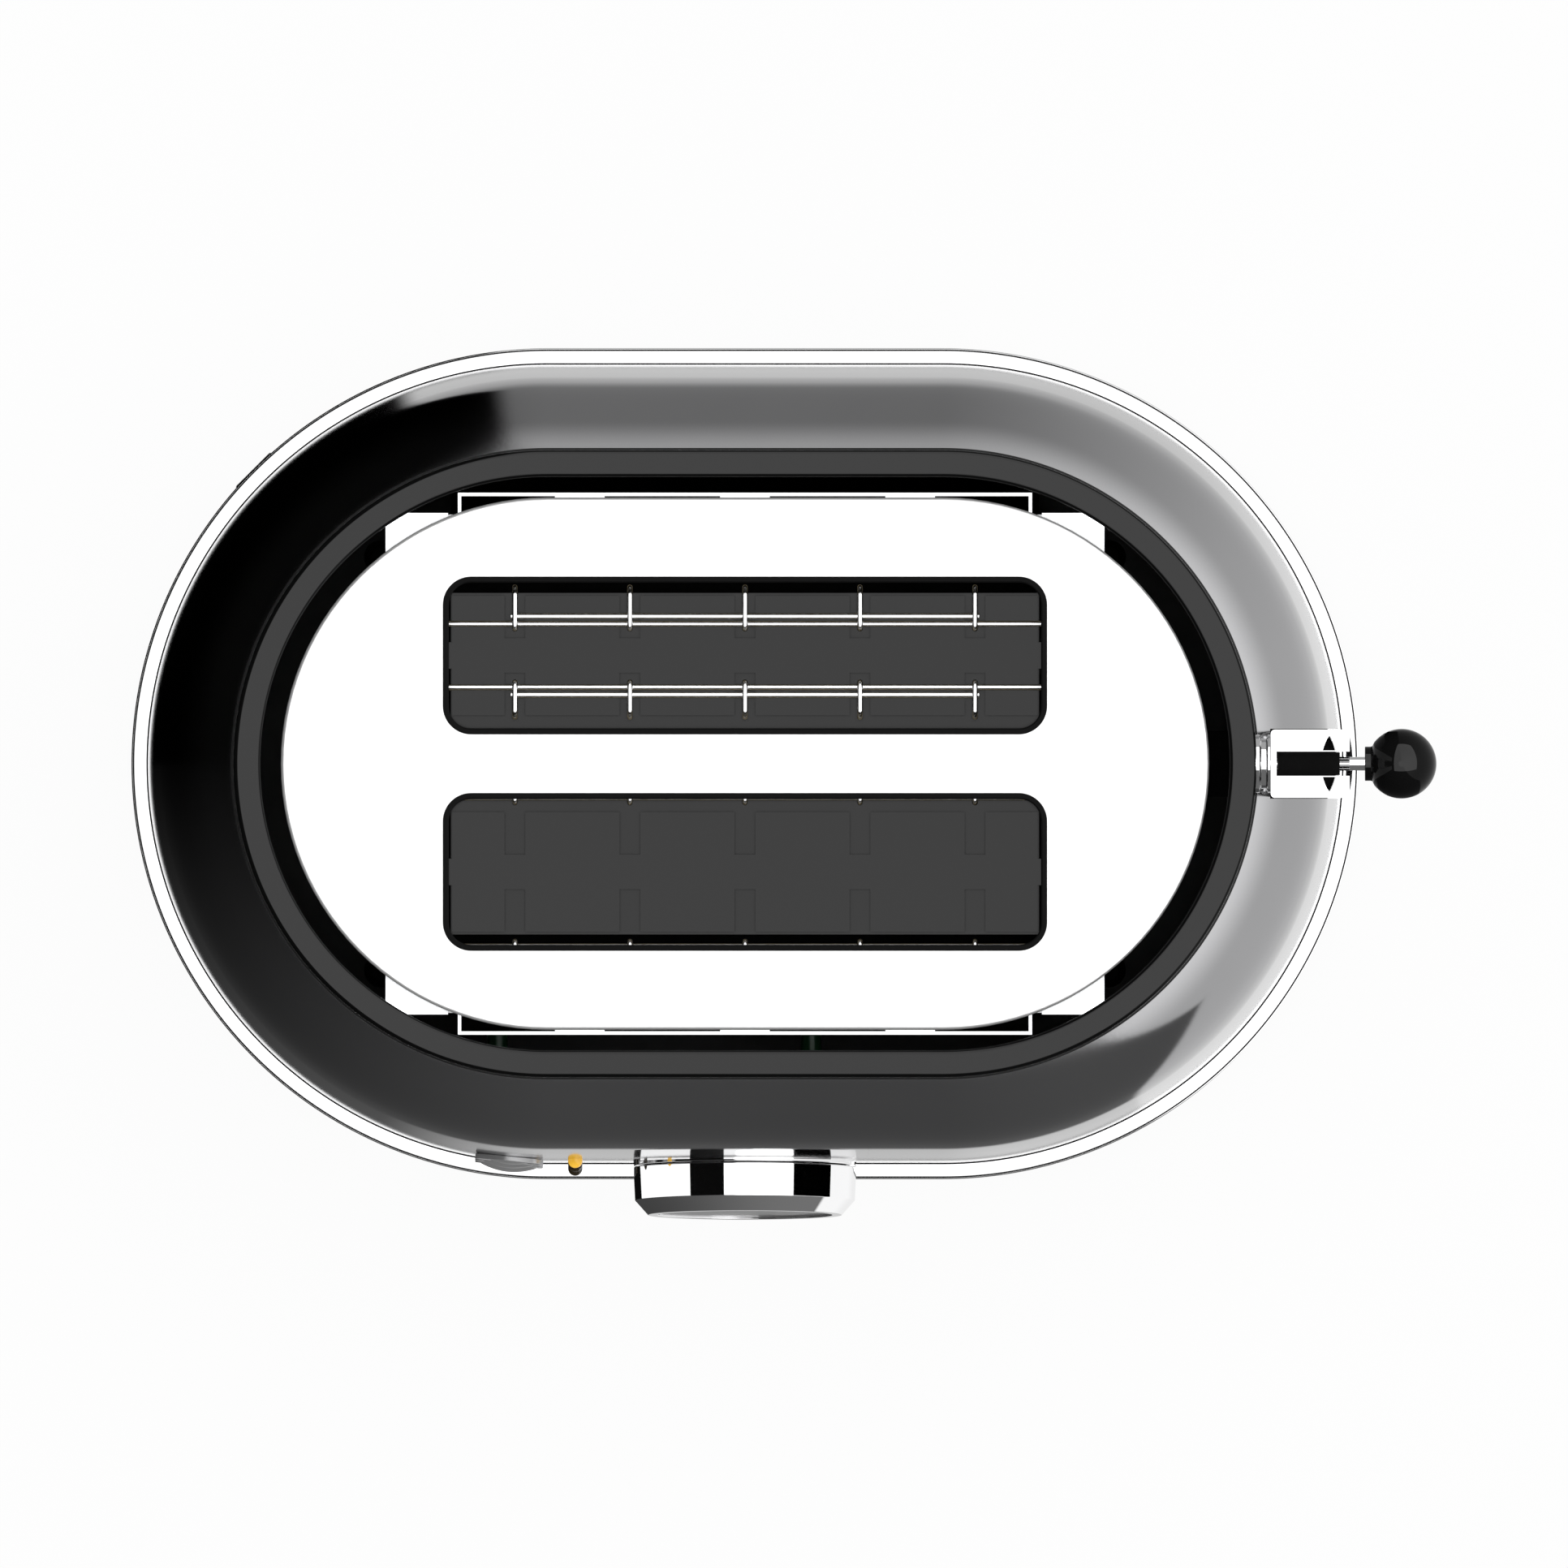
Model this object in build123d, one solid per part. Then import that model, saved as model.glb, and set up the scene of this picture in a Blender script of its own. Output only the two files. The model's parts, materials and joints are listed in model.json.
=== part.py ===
from build123d import *
import math
import os

# Driving sizes of the body. Seen from above, every outline is a stadium on the same straight length.
straight = 95.9
shell_foot_radius = 96.6
shoulder_height = 176.0
control_height = 85.0

# Steps from the foot of the shell to the other outlines.
plinth_step = 4.0
collar_step = 20.65
collar_width = 6.55
moat_width = 4.95
ledge_reach = 3.1

# Heights above the table, and above or below the shoulder.
foot_height = 5.0
pan_floor = 2.5
plinth_low = 8.0
ledge_low = 20.0
ledge_thickness = 2.0
plinth_rise = 3.6
collar_height = 15.0
plate_drop = 6.0
rod_drop = 8.0
rack_drop = 64.0
bar_drop = 8.0
low_bar_drop = 120.0
heater_drop = 7.0
heater_height = 109.0
ear_drop = 4.7

# The shoulder: tangent arcs between the leaning wall and the collar, with the angle where each ends.
# The topmost arc's radius is worked out, so that the outline closes at the collar.
side_arc_radius = 75.0
side_arc_angle = 13.0
shoulder_arc_radius = 26.9
shoulder_arc_angle = 45.0
crown_angle = 84.0

# Walls and clearances.
shell_wall = 1.0
plinth_wall = 1.7
pan_wall = 2.4
collar_wall = 2.2
plate_wall = 1.0
sheet = 0.8
free_gap = 0.3
slip_gap = 0.2
fit_gap = 0.06
press_gap = 0.02
wall_lean = 1.15
beyond = 250.0

# Bread slots and the wire guides in them.
slot_reach = 25.05
slot_width = 37.9
slot_corner = 6.7
slot_spacing = 52.4
rim_depth = 5.0
skirt_depth = 3.0
wire_diameter = 1.35
wire_sides = 6
wire_count = 5
wire_end_gap = 17.3
guide_closed = 7.7
guide_travel = 10.3
guide_upright = 6.5
tie_bar_offset = 8.9
leg_reach_outer = 16.5
leg_reach_inner = 14.9
leg_drop = 4.0

# Racks and the carriage that lifts them.
rack_half_width = 14.5
rack_spine = 3.2
rack_notch = 2.5
rack_thickness = 1.2
rack_tab = 8.0
bracket_sheet = 1.6
armature_thickness = 2.0
lift_travel = 50.0
guide_rod_radius = 3.0
guide_rod_reach = 12.1
bush_radius = 6.0
bush_half_length = 8.0
spring_radius = 4.6
spring_wire = 0.6
spring_turns = 7
spring_sides = 5
magnet_half = 6.0
magnet_height = 26.0

# Chassis.
end_frame_reach = 23.95
panel_gap = 1.15
panel_inset = 2.4
frame_inset = 4.9
heater_offset = 21.5
heater_board = 0.6
ribbon_pitch = 11.0
ribbon_count = 9
ribbon_width = 1.4
reflector_offset = 25.8
screw_reach = 8.1
screw_y = 30.0
screw_radius = 1.5
foot_x_reach = 40.05
foot_y = 50.0
pad_radius = 10.0
stud_radius = 3.0
tray_inset = 0.7
tray_margin = 15.15
tray_depth = 8.0
gland_height = 13.8
gland_radius = 4.5

# Lever and its rail.
rail_inner_gap = 3.4
rail_outer_inset = 2.15
rail_width = 16.5
rail_slot_width = 5.9
rail_web = 1.4
groove_inset = 4.9
groove_reach = 7.0
groove_half_width = 2.0
neck_radius = 7.07
rod_radius = 1.65
slider_half_height = 7.0
ball_radius = 8.45
ball_flange_gap = 3.7
ball_flange_radius = 4.15
ball_reach = 8.9

# Dial, buttons and lamps on the front wall.
dial_radius = 27.0
dial_face_radius = 20.8
dial_length = 12.46
dial_chamfer = 3.55
dial_wall = 2.5
dial_lean = 2.8
bezel_thickness = 1.2
bezel_rim = 4.0
shaft_radius = 3.0
shaft_hole_radius = 6.5
shaft_length_inside = 9.0
button_reach = 9.05
button_radius = 7.35
button_proud = 3.0
button_stagger = 0.5
button_bezel_radius = 8.25
button_sleeve = 0.55
button_travel = 1.8
control_pitch = 22.0
lamp_reach = 6.85
lamp_radius = 1.75
lamp_sleeve = 0.5
lamp_proud = 3.5
board_depth = 17.52
board_thickness = 1.6
board_half_height = 37.0
board_margin = 9.0
board_right = 22.0
switch_depth = 3.5
plunger_depth = 4.9

# Sizes worked out from those above.
half_straight = straight / 2
lean = math.radians(wall_lean)
plinth_radius = shell_foot_radius + plinth_step
collar_radius = shell_foot_radius - collar_step
collar_inner = collar_radius - collar_width
plate_radius = collar_inner - moat_width
ring_inner = plinth_radius - plinth_wall
ledge_top = ledge_low + ledge_thickness
pan_top = foot_height + pan_floor
collar_top = shoulder_height + collar_height
plate_top = collar_top - plate_drop
neck_height = shoulder_height + collar_height / 2
flange_inner = collar_inner + collar_wall + 2 * slip_gap

rod_height = shoulder_height - rod_drop
rack_height = shoulder_height - rack_drop
rack_under = rack_height - rack_thickness
bar_heights = (shoulder_height - bar_drop, shoulder_height - low_bar_drop)
heater_top = shoulder_height - heater_drop
heater_low = heater_top - heater_height
ear_height = shoulder_height - ear_drop

slot_length = 2 * (half_straight + slot_reach)
slot_y = slot_spacing / 2
wire_radius = wire_diameter / 2
wire_span = slot_length - 2 * wire_end_gap
wires = [wire_span * (i / (wire_count - 1) - 0.5) for i in range(wire_count)]

end_frame_x = half_straight + end_frame_reach
guide_rod_x = end_frame_x + guide_rod_reach
panel_y = plate_radius + panel_gap
panel_inner = panel_y - sheet
panel_half_length = end_frame_x - panel_inset
frame_half_width = panel_y - frame_inset
reflector_y = slot_y + reflector_offset
tray_half_length = end_frame_x - tray_inset
tray_half_width = slot_y + tray_margin
screw_x = end_frame_x + screw_reach
screw_places = [(x, y) for x in (-screw_x, screw_x) for y in (-screw_y, screw_y)]
foot_x = half_straight + foot_x_reach
foot_places = [(x, y) for x in (-foot_x, foot_x) for y in (-foot_y, foot_y)]
ribbon_heights = [heater_low + ribbon_pitch * (i + 0.75) for i in range(ribbon_count)]
# Each board's place across the toaster and the way to its slice of bread.
heater_places = [
    (slot_y + heater_offset, -1),
    (slot_y - heater_offset, 1),
    (heater_offset - slot_y, -1),
    (-slot_y - heater_offset, 1),
]

rail_inner_x = half_straight + collar_radius + rail_inner_gap
rail_outer_x = half_straight + plinth_radius - rail_outer_inset
groove_x = rail_outer_x - groove_inset
ball_flange_x = rail_outer_x + ball_flange_gap
ball_x = ball_flange_x + ball_reach
arm_x = half_straight + flange_inner + slip_gap
button_x = -half_straight - button_reach
lamp_x = -half_straight + lamp_reach
control_heights = [control_height + control_pitch * i for i in (1, 0, -1)]
staggers = [button_stagger * i for i in (-1, 0, 1)]
dial_back = bezel_thickness + free_gap
dial_front = dial_back + dial_length
board_y = board_depth - shell_foot_radius + (control_height - ledge_top) * math.tan(lean)


def stadium(radius):
    return SlotCenterToCenter(straight, 2 * radius)


def slab(radius, low, high):
    return extrude(Plane.XY.offset(low) * stadium(radius), high - low)


def block(x_span, y_span, z_span):
    size = [b - a for a, b in (x_span, y_span, z_span)]
    centre = [(a + b) / 2 for a, b in (x_span, y_span, z_span)]
    return Pos(*centre) * Box(*size)


def sided(side, near, far):
    """A span on one side of the middle, in rising order."""
    return sorted((side * near, side * far))


def carried_round(profile):
    """Carries a profile, drawn as distance from the centre line and height, round the stadium."""
    drawn = Plane.XZ * profile
    right = revolve(Rot(0, 0, -90) * drawn, Axis.Z, revolution_arc=180)
    left = revolve(Rot(0, 0, 90) * drawn, Axis.Z, revolution_arc=180)
    start = Pos(-half_straight, 0, 0)
    rear = extrude(start * Rot(0, 0, 90) * drawn, straight, dir=(1, 0, 0))
    front = extrude(start * Rot(0, 0, -90) * drawn, straight, dir=(1, 0, 0))
    return Pos(half_straight, 0, 0) * right + start * left + rear + front


def turned(points, axis_plane):
    """Turns an outline of (distance along, radius) points about the z axis of a plane."""
    outline = make_face(Polyline(*[(radius, along) for along, radius in points], close=True))
    return axis_plane * revolve(Plane.XZ * outline, Axis.Z)


def post(radius, centre_xy, low, high):
    return Pos(*centre_xy, (low + high) / 2) * Cylinder(radius, high - low)


def level_bar(radius, x_span, height):
    """A round bar along x over the middle line."""
    length = x_span[1] - x_span[0]
    return Pos(sum(x_span) / 2, 0, height) * Rot(0, 90, 0) * Cylinder(radius, length)


def wall_radius(height):
    return shell_foot_radius - (height - ledge_top) * math.tan(lean)


def wall_plane(x, height):
    """The plane that lies on the front of the shell, its z axis pointing straight out of the wall."""
    centre = max(-half_straight, min(half_straight, x))
    radius = wall_radius(height)
    across = (x - centre) / radius
    out = -math.sqrt(1 - across**2)
    normal = (across * math.cos(lean), out * math.cos(lean), math.sin(lean))
    return Plane(origin=(x, out * radius, height), x_dir=(-out, across, 0), z_dir=normal)


def shoulder_arcs():
    """Radius, start and end angle of each arc from the wall up to the collar."""
    angles = [math.radians(a) for a in (wall_lean, side_arc_angle, shoulder_arc_angle, crown_angle)]
    radii = [side_arc_radius, shoulder_arc_radius]
    inward = shell_foot_radius - collar_radius - slip_gap
    height = shoulder_height - ledge_top
    for radius, low, high in zip(radii, angles, angles[1:]):
        inward -= radius * (math.cos(low) - math.cos(high))
        height -= radius * (math.sin(high) - math.sin(low))
    low, high = angles[2:]
    slope = math.tan(lean)
    reach = math.cos(low) - math.cos(high) - (math.sin(high) - math.sin(low)) * slope
    radii.append((inward - height * slope) / reach)
    return list(zip(radii, angles, angles[1:]))


def shoulder_curve(inset):
    """The arcs themselves, on the outside of the shell or inset by its wall."""
    arcs = shoulder_arcs()
    last, first_angle, _ = arcs[0]
    wall_top = shoulder_height - sum(r * (math.sin(high) - math.sin(low)) for r, low, high in arcs)
    x = wall_radius(wall_top) - last * math.cos(first_angle)
    z = wall_top - last * math.sin(first_angle)
    edges = []
    for radius, low, high in arcs:
        x += (last - radius) * math.cos(low)
        z += (last - radius) * math.sin(low)
        last = radius
        drawn = radius - inset
        if radius is arcs[-1][0]:
            high = math.asin((shoulder_height - inset - z) / drawn)
        angles = (low, (low + high) / 2, high)
        edges.append(ThreePointArc(*[(x + drawn * math.cos(a), z + drawn * math.sin(a)) for a in angles]))
    return edges


def shell_profile():
    """A leaning wall, a shoulder of tangent arcs and a flat flange under the collar."""
    outer = shoulder_curve(0)
    inner = shoulder_curve(shell_wall)
    under = shoulder_height - shell_wall
    foot_inner = shell_foot_radius - shell_wall / math.cos(lean)
    flange = Polyline(outer[-1] @ 1, (flange_inner, shoulder_height), (flange_inner, under), inner[-1] @ 1)
    wall = Polyline(inner[0] @ 0, (foot_inner, ledge_top), (shell_foot_radius, ledge_top), outer[0] @ 0)
    return make_face(Wire([*outer, *flange.edges(), *reversed(inner), *wall.edges()]))


def outer_shell():
    """A drawn shell with a slot for the lever's rail and holes for the dial, buttons and lamps."""
    shell = carried_round(shell_profile())
    side = rail_width / 2 + slip_gap
    bore = 12 * shell_wall
    shell -= block((rail_inner_x - slip_gap, beyond), (-side, side), (0, beyond))
    shell -= dial_plane() * Cylinder(shaft_hole_radius, bore)
    for height in control_heights:
        shell -= wall_plane(button_x, height) * Cylinder(button_radius + button_sleeve + 0.1, bore)
        shell -= wall_plane(lamp_x, height) * Cylinder(lamp_radius + lamp_sleeve + 0.1, bore)
    return shell


def plinth_profile():
    """A thin wall with a fine bead on its top edge, a nearly flat top and a ledge for the shell."""
    lip = shell_foot_radius + free_gap
    crown = ledge_top + plinth_rise
    bead = 0.7
    fall = 0.15
    dome = ThreePointArc(
        (lip, crown),
        ((lip + plinth_radius - bead) / 2, crown - fall / 4),
        (plinth_radius - bead, crown - fall),
    )
    bead_arc = ThreePointArc(
        dome @ 1,
        (plinth_radius - bead * 0.3, crown - fall - bead * 0.3),
        (plinth_radius, crown - fall - bead),
    )
    inner = shell_foot_radius - ledge_reach
    corners = [
        bead_arc @ 1,
        (plinth_radius, plinth_low),
        (ring_inner, plinth_low),
        (ring_inner, ledge_low),
        (inner, ledge_low),
        (inner, ledge_top),
        (lip, ledge_top),
        (lip, crown),
    ]
    return make_face(Wire([dome, bead_arc, *Polyline(*corners).edges()]))


def tray_window(grow):
    """The room that the tray's front takes in the rear of the plinth."""
    half = tray_half_length + grow
    return block((-half, half), (plinth_radius / 2, beyond), (0, ledge_low - free_gap + grow))


def gland_plane():
    """The cord inlet's axis: level, through the rear left of the plinth, pointing out."""
    slope = math.radians(135)
    out = (math.cos(slope), math.sin(slope), 0)
    centre = (-half_straight + ring_inner * out[0], ring_inner * out[1], gland_height)
    return Plane(origin=centre, x_dir=(0, 0, 1), z_dir=out)


def plinth_ring():
    ring = carried_round(plinth_profile())
    ring -= tray_window(free_gap)
    ring -= gland_plane() * Cylinder(gland_radius + 0.1, 2 * gland_radius)
    return ring


def tray_front():
    """The part of the plinth's wall that comes out with the crumb tray."""
    band = slab(plinth_radius, plinth_low, ledge_low) - slab(ring_inner, plinth_low, ledge_low)
    return band & tray_window(0)


def base_pan():
    """A moulded pan with vents under the tray, bosses for the rods and holes for feet and screws."""
    outer = ring_inner - free_gap
    pan = slab(outer, foot_height, ledge_low)
    pan -= slab(outer - pan_wall, pan_top, ledge_low)
    pan -= tray_window(free_gap + 0.5) & block((-beyond, beyond), (0, beyond), (pan_top, beyond))
    for place in foot_places:
        pan -= post(stud_radius + fit_gap, place, 0, pan_top + 1)
    vent_pitch = (tray_half_length - 11.2) / 6
    for i in range(-6, 7):
        vent = (vent_pitch * i - 1.5, vent_pitch * i + 1.5)
        pan -= block(vent, (-tray_half_width + 5, tray_half_width - 5), (0, pan_top + 1))
    for side in (-1, 1):
        rod = (side * guide_rod_x, 0)
        pan += post(bush_radius, rod, pan_top, pan_top + bush_radius)
        pan -= post(guide_rod_radius + fit_gap, rod, pan_top, pan_top + 2 * bush_radius)
    for place in screw_places:
        pan -= post(screw_radius + 0.1, place, 0, pan_top + 1)
    pan -= gland_plane() * Cylinder(gland_radius + 1.9, 4 * gland_radius)
    return pan


def rubber_feet():
    """A turned pad with a barbed stud that snaps through the base."""
    barb = pan_top + 0.1
    outline = [
        (0, 0), (0, pad_radius - 1), (1, pad_radius), (foot_height, pad_radius),
        (foot_height, stud_radius), (barb, stud_radius),
        (barb, stud_radius + 1.2), (barb + 2.4, stud_radius - 0.6), (barb + 2.4, 0),
    ]
    return Compound([turned(outline, Plane(origin=(x, y, 0))) for x, y in foot_places])


def top_collar():
    """A gloss ring: flat on top, rounded at both edges, with a skirt round the well."""
    skirt_low = ear_height + slip_gap
    outer = collar_radius - collar_wall
    inner = collar_inner + collar_wall
    soft = 1.0
    rounding = soft * 0.3
    corners = [
        (collar_radius, shoulder_height), (collar_radius, collar_top - soft),
        (collar_radius - rounding, collar_top - rounding), (collar_radius - soft, collar_top),
        (collar_inner + soft, collar_top), (collar_inner + rounding, collar_top - rounding),
        (collar_inner, collar_top - soft), (collar_inner, skirt_low), (inner, skirt_low),
        (inner, collar_top - collar_wall), (outer, collar_top - collar_wall), (outer, shoulder_height),
    ]
    return carried_round(make_face(Polyline(*corners, close=True)))


def slot_sketch(grow):
    corner = slot_corner + grow
    return RectangleRounded(slot_length + 2 * grow, slot_width + 2 * grow, corner)


def top_plate():
    """A sheet plate with a turned-down edge and two slots with turned-down rims."""
    under = plate_top - plate_wall
    skirt_low = plate_top - skirt_depth
    rim_low = plate_top - rim_depth
    plate = slab(plate_radius, under, plate_top)
    plate = fillet(plate.faces().sort_by(Axis.Z)[-1].edges(), plate_wall * 0.7)
    plate += slab(plate_radius, skirt_low, under) - slab(plate_radius - plate_wall, skirt_low, under)
    for side in (-1, 1):
        plate += Pos(0, side * slot_y, rim_low) * extrude(slot_sketch(0), under - rim_low)
    for side in (-1, 1):
        mouth = extrude(slot_sketch(-plate_wall), rim_depth + 2)
        plate -= Pos(0, side * slot_y, rim_low - 1) * mouth
    mouths = plate.faces().filter_by(Axis.Z).sort_by(Axis.Z)[-1].inner_wires()
    return fillet([edge for rim in mouths for edge in rim.edges()], plate_wall * 0.6)


def wire(points):
    """A wire along straight runs joined by tight bends; it has few sides because it repeats so often."""
    inner = len(points) - 2
    path = FilletPolyline(*points, radius=wire_diameter * 1.2) if inner else Line(*points)
    section = Plane(origin=path @ 0, z_dir=path % 0) * RegularPolygon(wire_radius, wire_sides)
    return sweep(section, path=path)


def guide_cage(slot_side, face, opened):
    """Five uprights that hook outwards under the plate, on long bars that run in the end frames."""
    travelled = guide_travel if opened else 0
    reach = leg_reach_outer if face == slot_side else leg_reach_inner
    low = bar_heights[1] - 2

    def at(offset):
        return slot_side * slot_y + face * (offset + travelled)

    cage = Part()
    for x in wires:
        cage += wire([
            (x, at(guide_upright), low),
            (x, at(guide_upright), shoulder_height),
            (x, at(reach), shoulder_height),
            (x, at(reach), shoulder_height - leg_drop),
        ])
    bar_end = end_frame_x + sheet + 1
    for height in bar_heights:
        cage += wire([(-bar_end, at(guide_closed), height), (bar_end, at(guide_closed), height)])
    tie_height = shoulder_height - wire_diameter * 0.8
    tie = wire_span / 2 + wire_radius + free_gap
    return cage + wire([(-tie, at(tie_bar_offset), tie_height), (tie, at(tie_bar_offset), tie_height)])


def end_frame(side):
    """A sheet end plate with slits for racks and guide bars, its ears, flange and feet turned out."""
    near, far = end_frame_x, end_frame_x + sheet
    half = frame_half_width
    through = sided(side, near - 1, far + 1)
    folded = sided(side, near, guide_rod_x + 3)
    frame = block(sided(side, near, far), (-half, half), (pan_top, ear_height))
    rack_slit = rack_spine + 0.65
    rack_low = rack_height - lift_travel - 3
    bar_gap = wire_radius + free_gap
    for slot in (-1, 1):
        centre = slot * slot_y
        frame -= block(through, (centre - rack_slit, centre + rack_slit), (rack_low, rack_height + 3))
        for face in (-1, 1):
            start = centre + face * (guide_closed - bar_gap)
            stop = centre + face * (guide_closed + guide_travel + bar_gap)
            for height in bar_heights:
                frame -= block(through, sorted((start, stop)), (height - bar_gap, height + bar_gap))
    flange_low = ear_height - sheet
    for way in (-1, 1):
        frame += block(folded, sided(way, half - 15.7, half), (flange_low, ear_height))
        frame += block(folded, sided(way, screw_y - 8, screw_y + 8), (pan_top, pan_top + sheet))
        frame -= post(screw_radius + 0.1, (side * screw_x, way * screw_y), 0, pan_top + 2)
    frame += block(sided(side, near, guide_rod_x + 7), (-10, 10), (flange_low, ear_height))
    frame -= post(guide_rod_radius + fit_gap, (side * guide_rod_x, 0), flange_low - 1, beyond)
    return frame


def side_panel(side):
    """A sheet side with its ends turned in, lances to the end frames, tabs and rows of vents."""
    low = ledge_top + 1
    top = plate_top - 2
    panel = block((-panel_half_length, panel_half_length), sided(side, panel_inner, panel_y), (low, top))
    for way in (-1, 1):
        end = sided(way, panel_half_length - sheet, panel_half_length)
        panel += block(end, sided(side, panel_inner - 7, panel_y), (low, top - 1))
        lance = sided(way, panel_half_length - sheet, end_frame_x)
        for part in (0.1, 0.42, 0.74):
            height = low + (top - low) * part
            panel += block(lance, sided(side, panel_inner - 6.5, panel_inner - 4.5), (height, height + 8))
        if side < 0:
            foot = sided(way, panel_half_length - 29.5, panel_half_length - 15.5)
            panel += block(foot, sided(side, panel_inner, panel_y), (pan_top, low + 1))
    tab_low = plate_top - skirt_depth - sheet
    for x in (-40, 0, 40):
        tab = sided(side, plate_radius - 3, panel_inner + slip_gap)
        panel += block((x - 6, x + 6), tab, (tab_low, tab_low + sheet))
    for i in range(-4, 5):
        for height in (60, 100):
            vent = (14 * i - 3, 14 * i + 3)
            panel -= block(vent, sided(side, panel_inner - 1, panel_y + 1), (height, height + 4))
    return panel


def heater(place, face):
    """A mica board notched along its ends where the ribbon goes round it."""
    half = end_frame_x - 0.1
    faces = (place - heater_board / 2, place + heater_board / 2)
    board = block((-half, half), faces, (heater_low, heater_top))
    for height in ribbon_heights:
        for way in (-1, 1):
            notch = (height - ribbon_width / 2 - 0.2, height + ribbon_width / 2 + 0.2)
            board -= block(sided(way, half - 1.5, beyond), (place - 1, place + 1), notch)
    return board


def heater_windings():
    """Flat resistance ribbon on the bread side of each board."""
    half = end_frame_x - 1.9
    strips = []
    for place, face in heater_places:
        near = sorted((place + face * heater_board / 2, place + face * (heater_board / 2 + 0.15)))
        for height in ribbon_heights:
            strip = (height - ribbon_width / 2, height + ribbon_width / 2)
            strips.append(block((-half, half), near, strip))
    return Compound(strips)


def reflector(side):
    """A sheet behind the outer heater, its foot turned in under the guides."""
    low = bar_heights[1] - 6
    half = end_frame_x - 0.1
    back = block((-half, half), sided(side, reflector_y, reflector_y + sheet), (low, heater_top))
    return back + block((-half, half), sided(side, tray_half_width, reflector_y + sheet), (low, low + sheet))


def bread_racks():
    """One comb under each slot: fingers between the guide wires and a tab through each end frame."""
    racks = []
    tab_end = end_frame_x + sheet + rack_tab
    half = end_frame_x - 1
    levels = (rack_under, rack_height)
    for side in (-1, 1):
        centre = side * slot_y
        rack = block((-half, half), (centre - rack_half_width, centre + rack_half_width), levels)
        for x in wires:
            for way in (-1, 1):
                span = sorted((centre + way * (rack_spine + 1), centre + way * (rack_half_width + 1)))
                rack -= block((x - rack_notch, x + rack_notch), span, (rack_under - 1, rack_height + 1))
        rack += block((-tab_end, tab_end), (centre - rack_spine, centre + rack_spine), levels)
        racks.append(rack)
    return Compound(racks)


def carriage_bracket(side):
    """A cross plate under the rack tabs with a bush on the guide rod; the right one carries the rod's arm."""
    rod = (side * guide_rod_x, 0)
    xs = sided(side, end_frame_x + sheet + 1.2, guide_rod_x + 2 * bush_radius)
    levels = (rack_under - bracket_sheet, rack_under)
    bracket = block(xs, (-slot_y - 5, slot_y + 5), levels)
    bracket += post(bush_radius, rod, rack_under - bush_half_length, rack_under + bush_half_length)
    bracket -= post(guide_rod_radius + fit_gap, rod, 0, beyond)
    if side > 0:
        half = 8
        outer = arm_x + bracket_sheet
        bracket += block((guide_rod_x + bush_radius, outer), (-half, half), levels)
        bracket += block((arm_x, outer), (-half, half), (levels[0], rod_height + 5))
        bracket -= level_bar(rod_radius + press_gap, (arm_x - 1, outer + 1), rod_height)
    return bracket


def guide_rods():
    rods = [post(guide_rod_radius, (side * guide_rod_x, 0), pan_top, ear_height) for side in (-1, 1)]
    return Compound(rods)


def lift_spring():
    """A coil round the right guide rod, between the base boss and the bracket's bush."""
    low = pan_top + bush_radius + spring_wire + 0.1
    high = rack_under - bush_half_length - spring_wire - 0.1
    rise = (high - low) / spring_turns
    coil = Helix(rise, high - low, spring_radius, center=(guide_rod_x, 0, low))
    start = Plane(origin=coil @ 0, z_dir=coil % 0)
    print("lift_spring least gap between turns", round(rise - 2 * spring_wire, 2))
    return sweep(start * RegularPolygon(spring_wire, spring_sides), path=coil)


def magnet_top():
    return rack_under - bracket_sheet - armature_thickness - lift_travel - free_gap


def magnet_span():
    return (guide_rod_x - magnet_half, guide_rod_x + magnet_half)


def latch_magnet():
    """A wound core on a sheet bracket, under the armature of the carriage."""
    top = magnet_top()
    low = top - magnet_height
    pole = 4
    sides = (-slot_y - 5, -slot_y + 5)
    core = block(magnet_span(), sides, (top - pole, top)) + block(magnet_span(), sides, (low, low + pole))
    stem = (guide_rod_x - 2, guide_rod_x + 2)
    core += block(stem, (-slot_y - 4, -slot_y + 4), (low + 2, top - 2))
    winding = post(magnet_half + 0.2, (guide_rod_x, -slot_y), low + 5, top - 5)
    return core + winding


def magnet_bracket():
    """An angle on the end frame that the magnet stands on."""
    top = magnet_top() - magnet_height
    wall = end_frame_x + sheet
    thick = 1.2
    sides = (-slot_y - 7, -slot_y + 7)
    shelf = block((wall, guide_rod_x + magnet_half + 1), sides, (top - thick, top))
    return shelf + block((wall, wall + thick), sides, (top - thick, top + 12))


def armature():
    top = rack_under - bracket_sheet
    return block(magnet_span(), (-slot_y - 5, -slot_y + 5), (top - armature_thickness, top))


def petals(shrink):
    """The cross groove: a pointed oval across the channel."""
    half_width = groove_half_width - shrink
    reach = groove_reach - shrink
    near = ThreePointArc((groove_x, -reach), (groove_x - half_width, 0), (groove_x, reach))
    far = ThreePointArc((groove_x, reach), (groove_x + half_width, 0), (groove_x, -reach))
    return make_face(Wire([near, far]))


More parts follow.
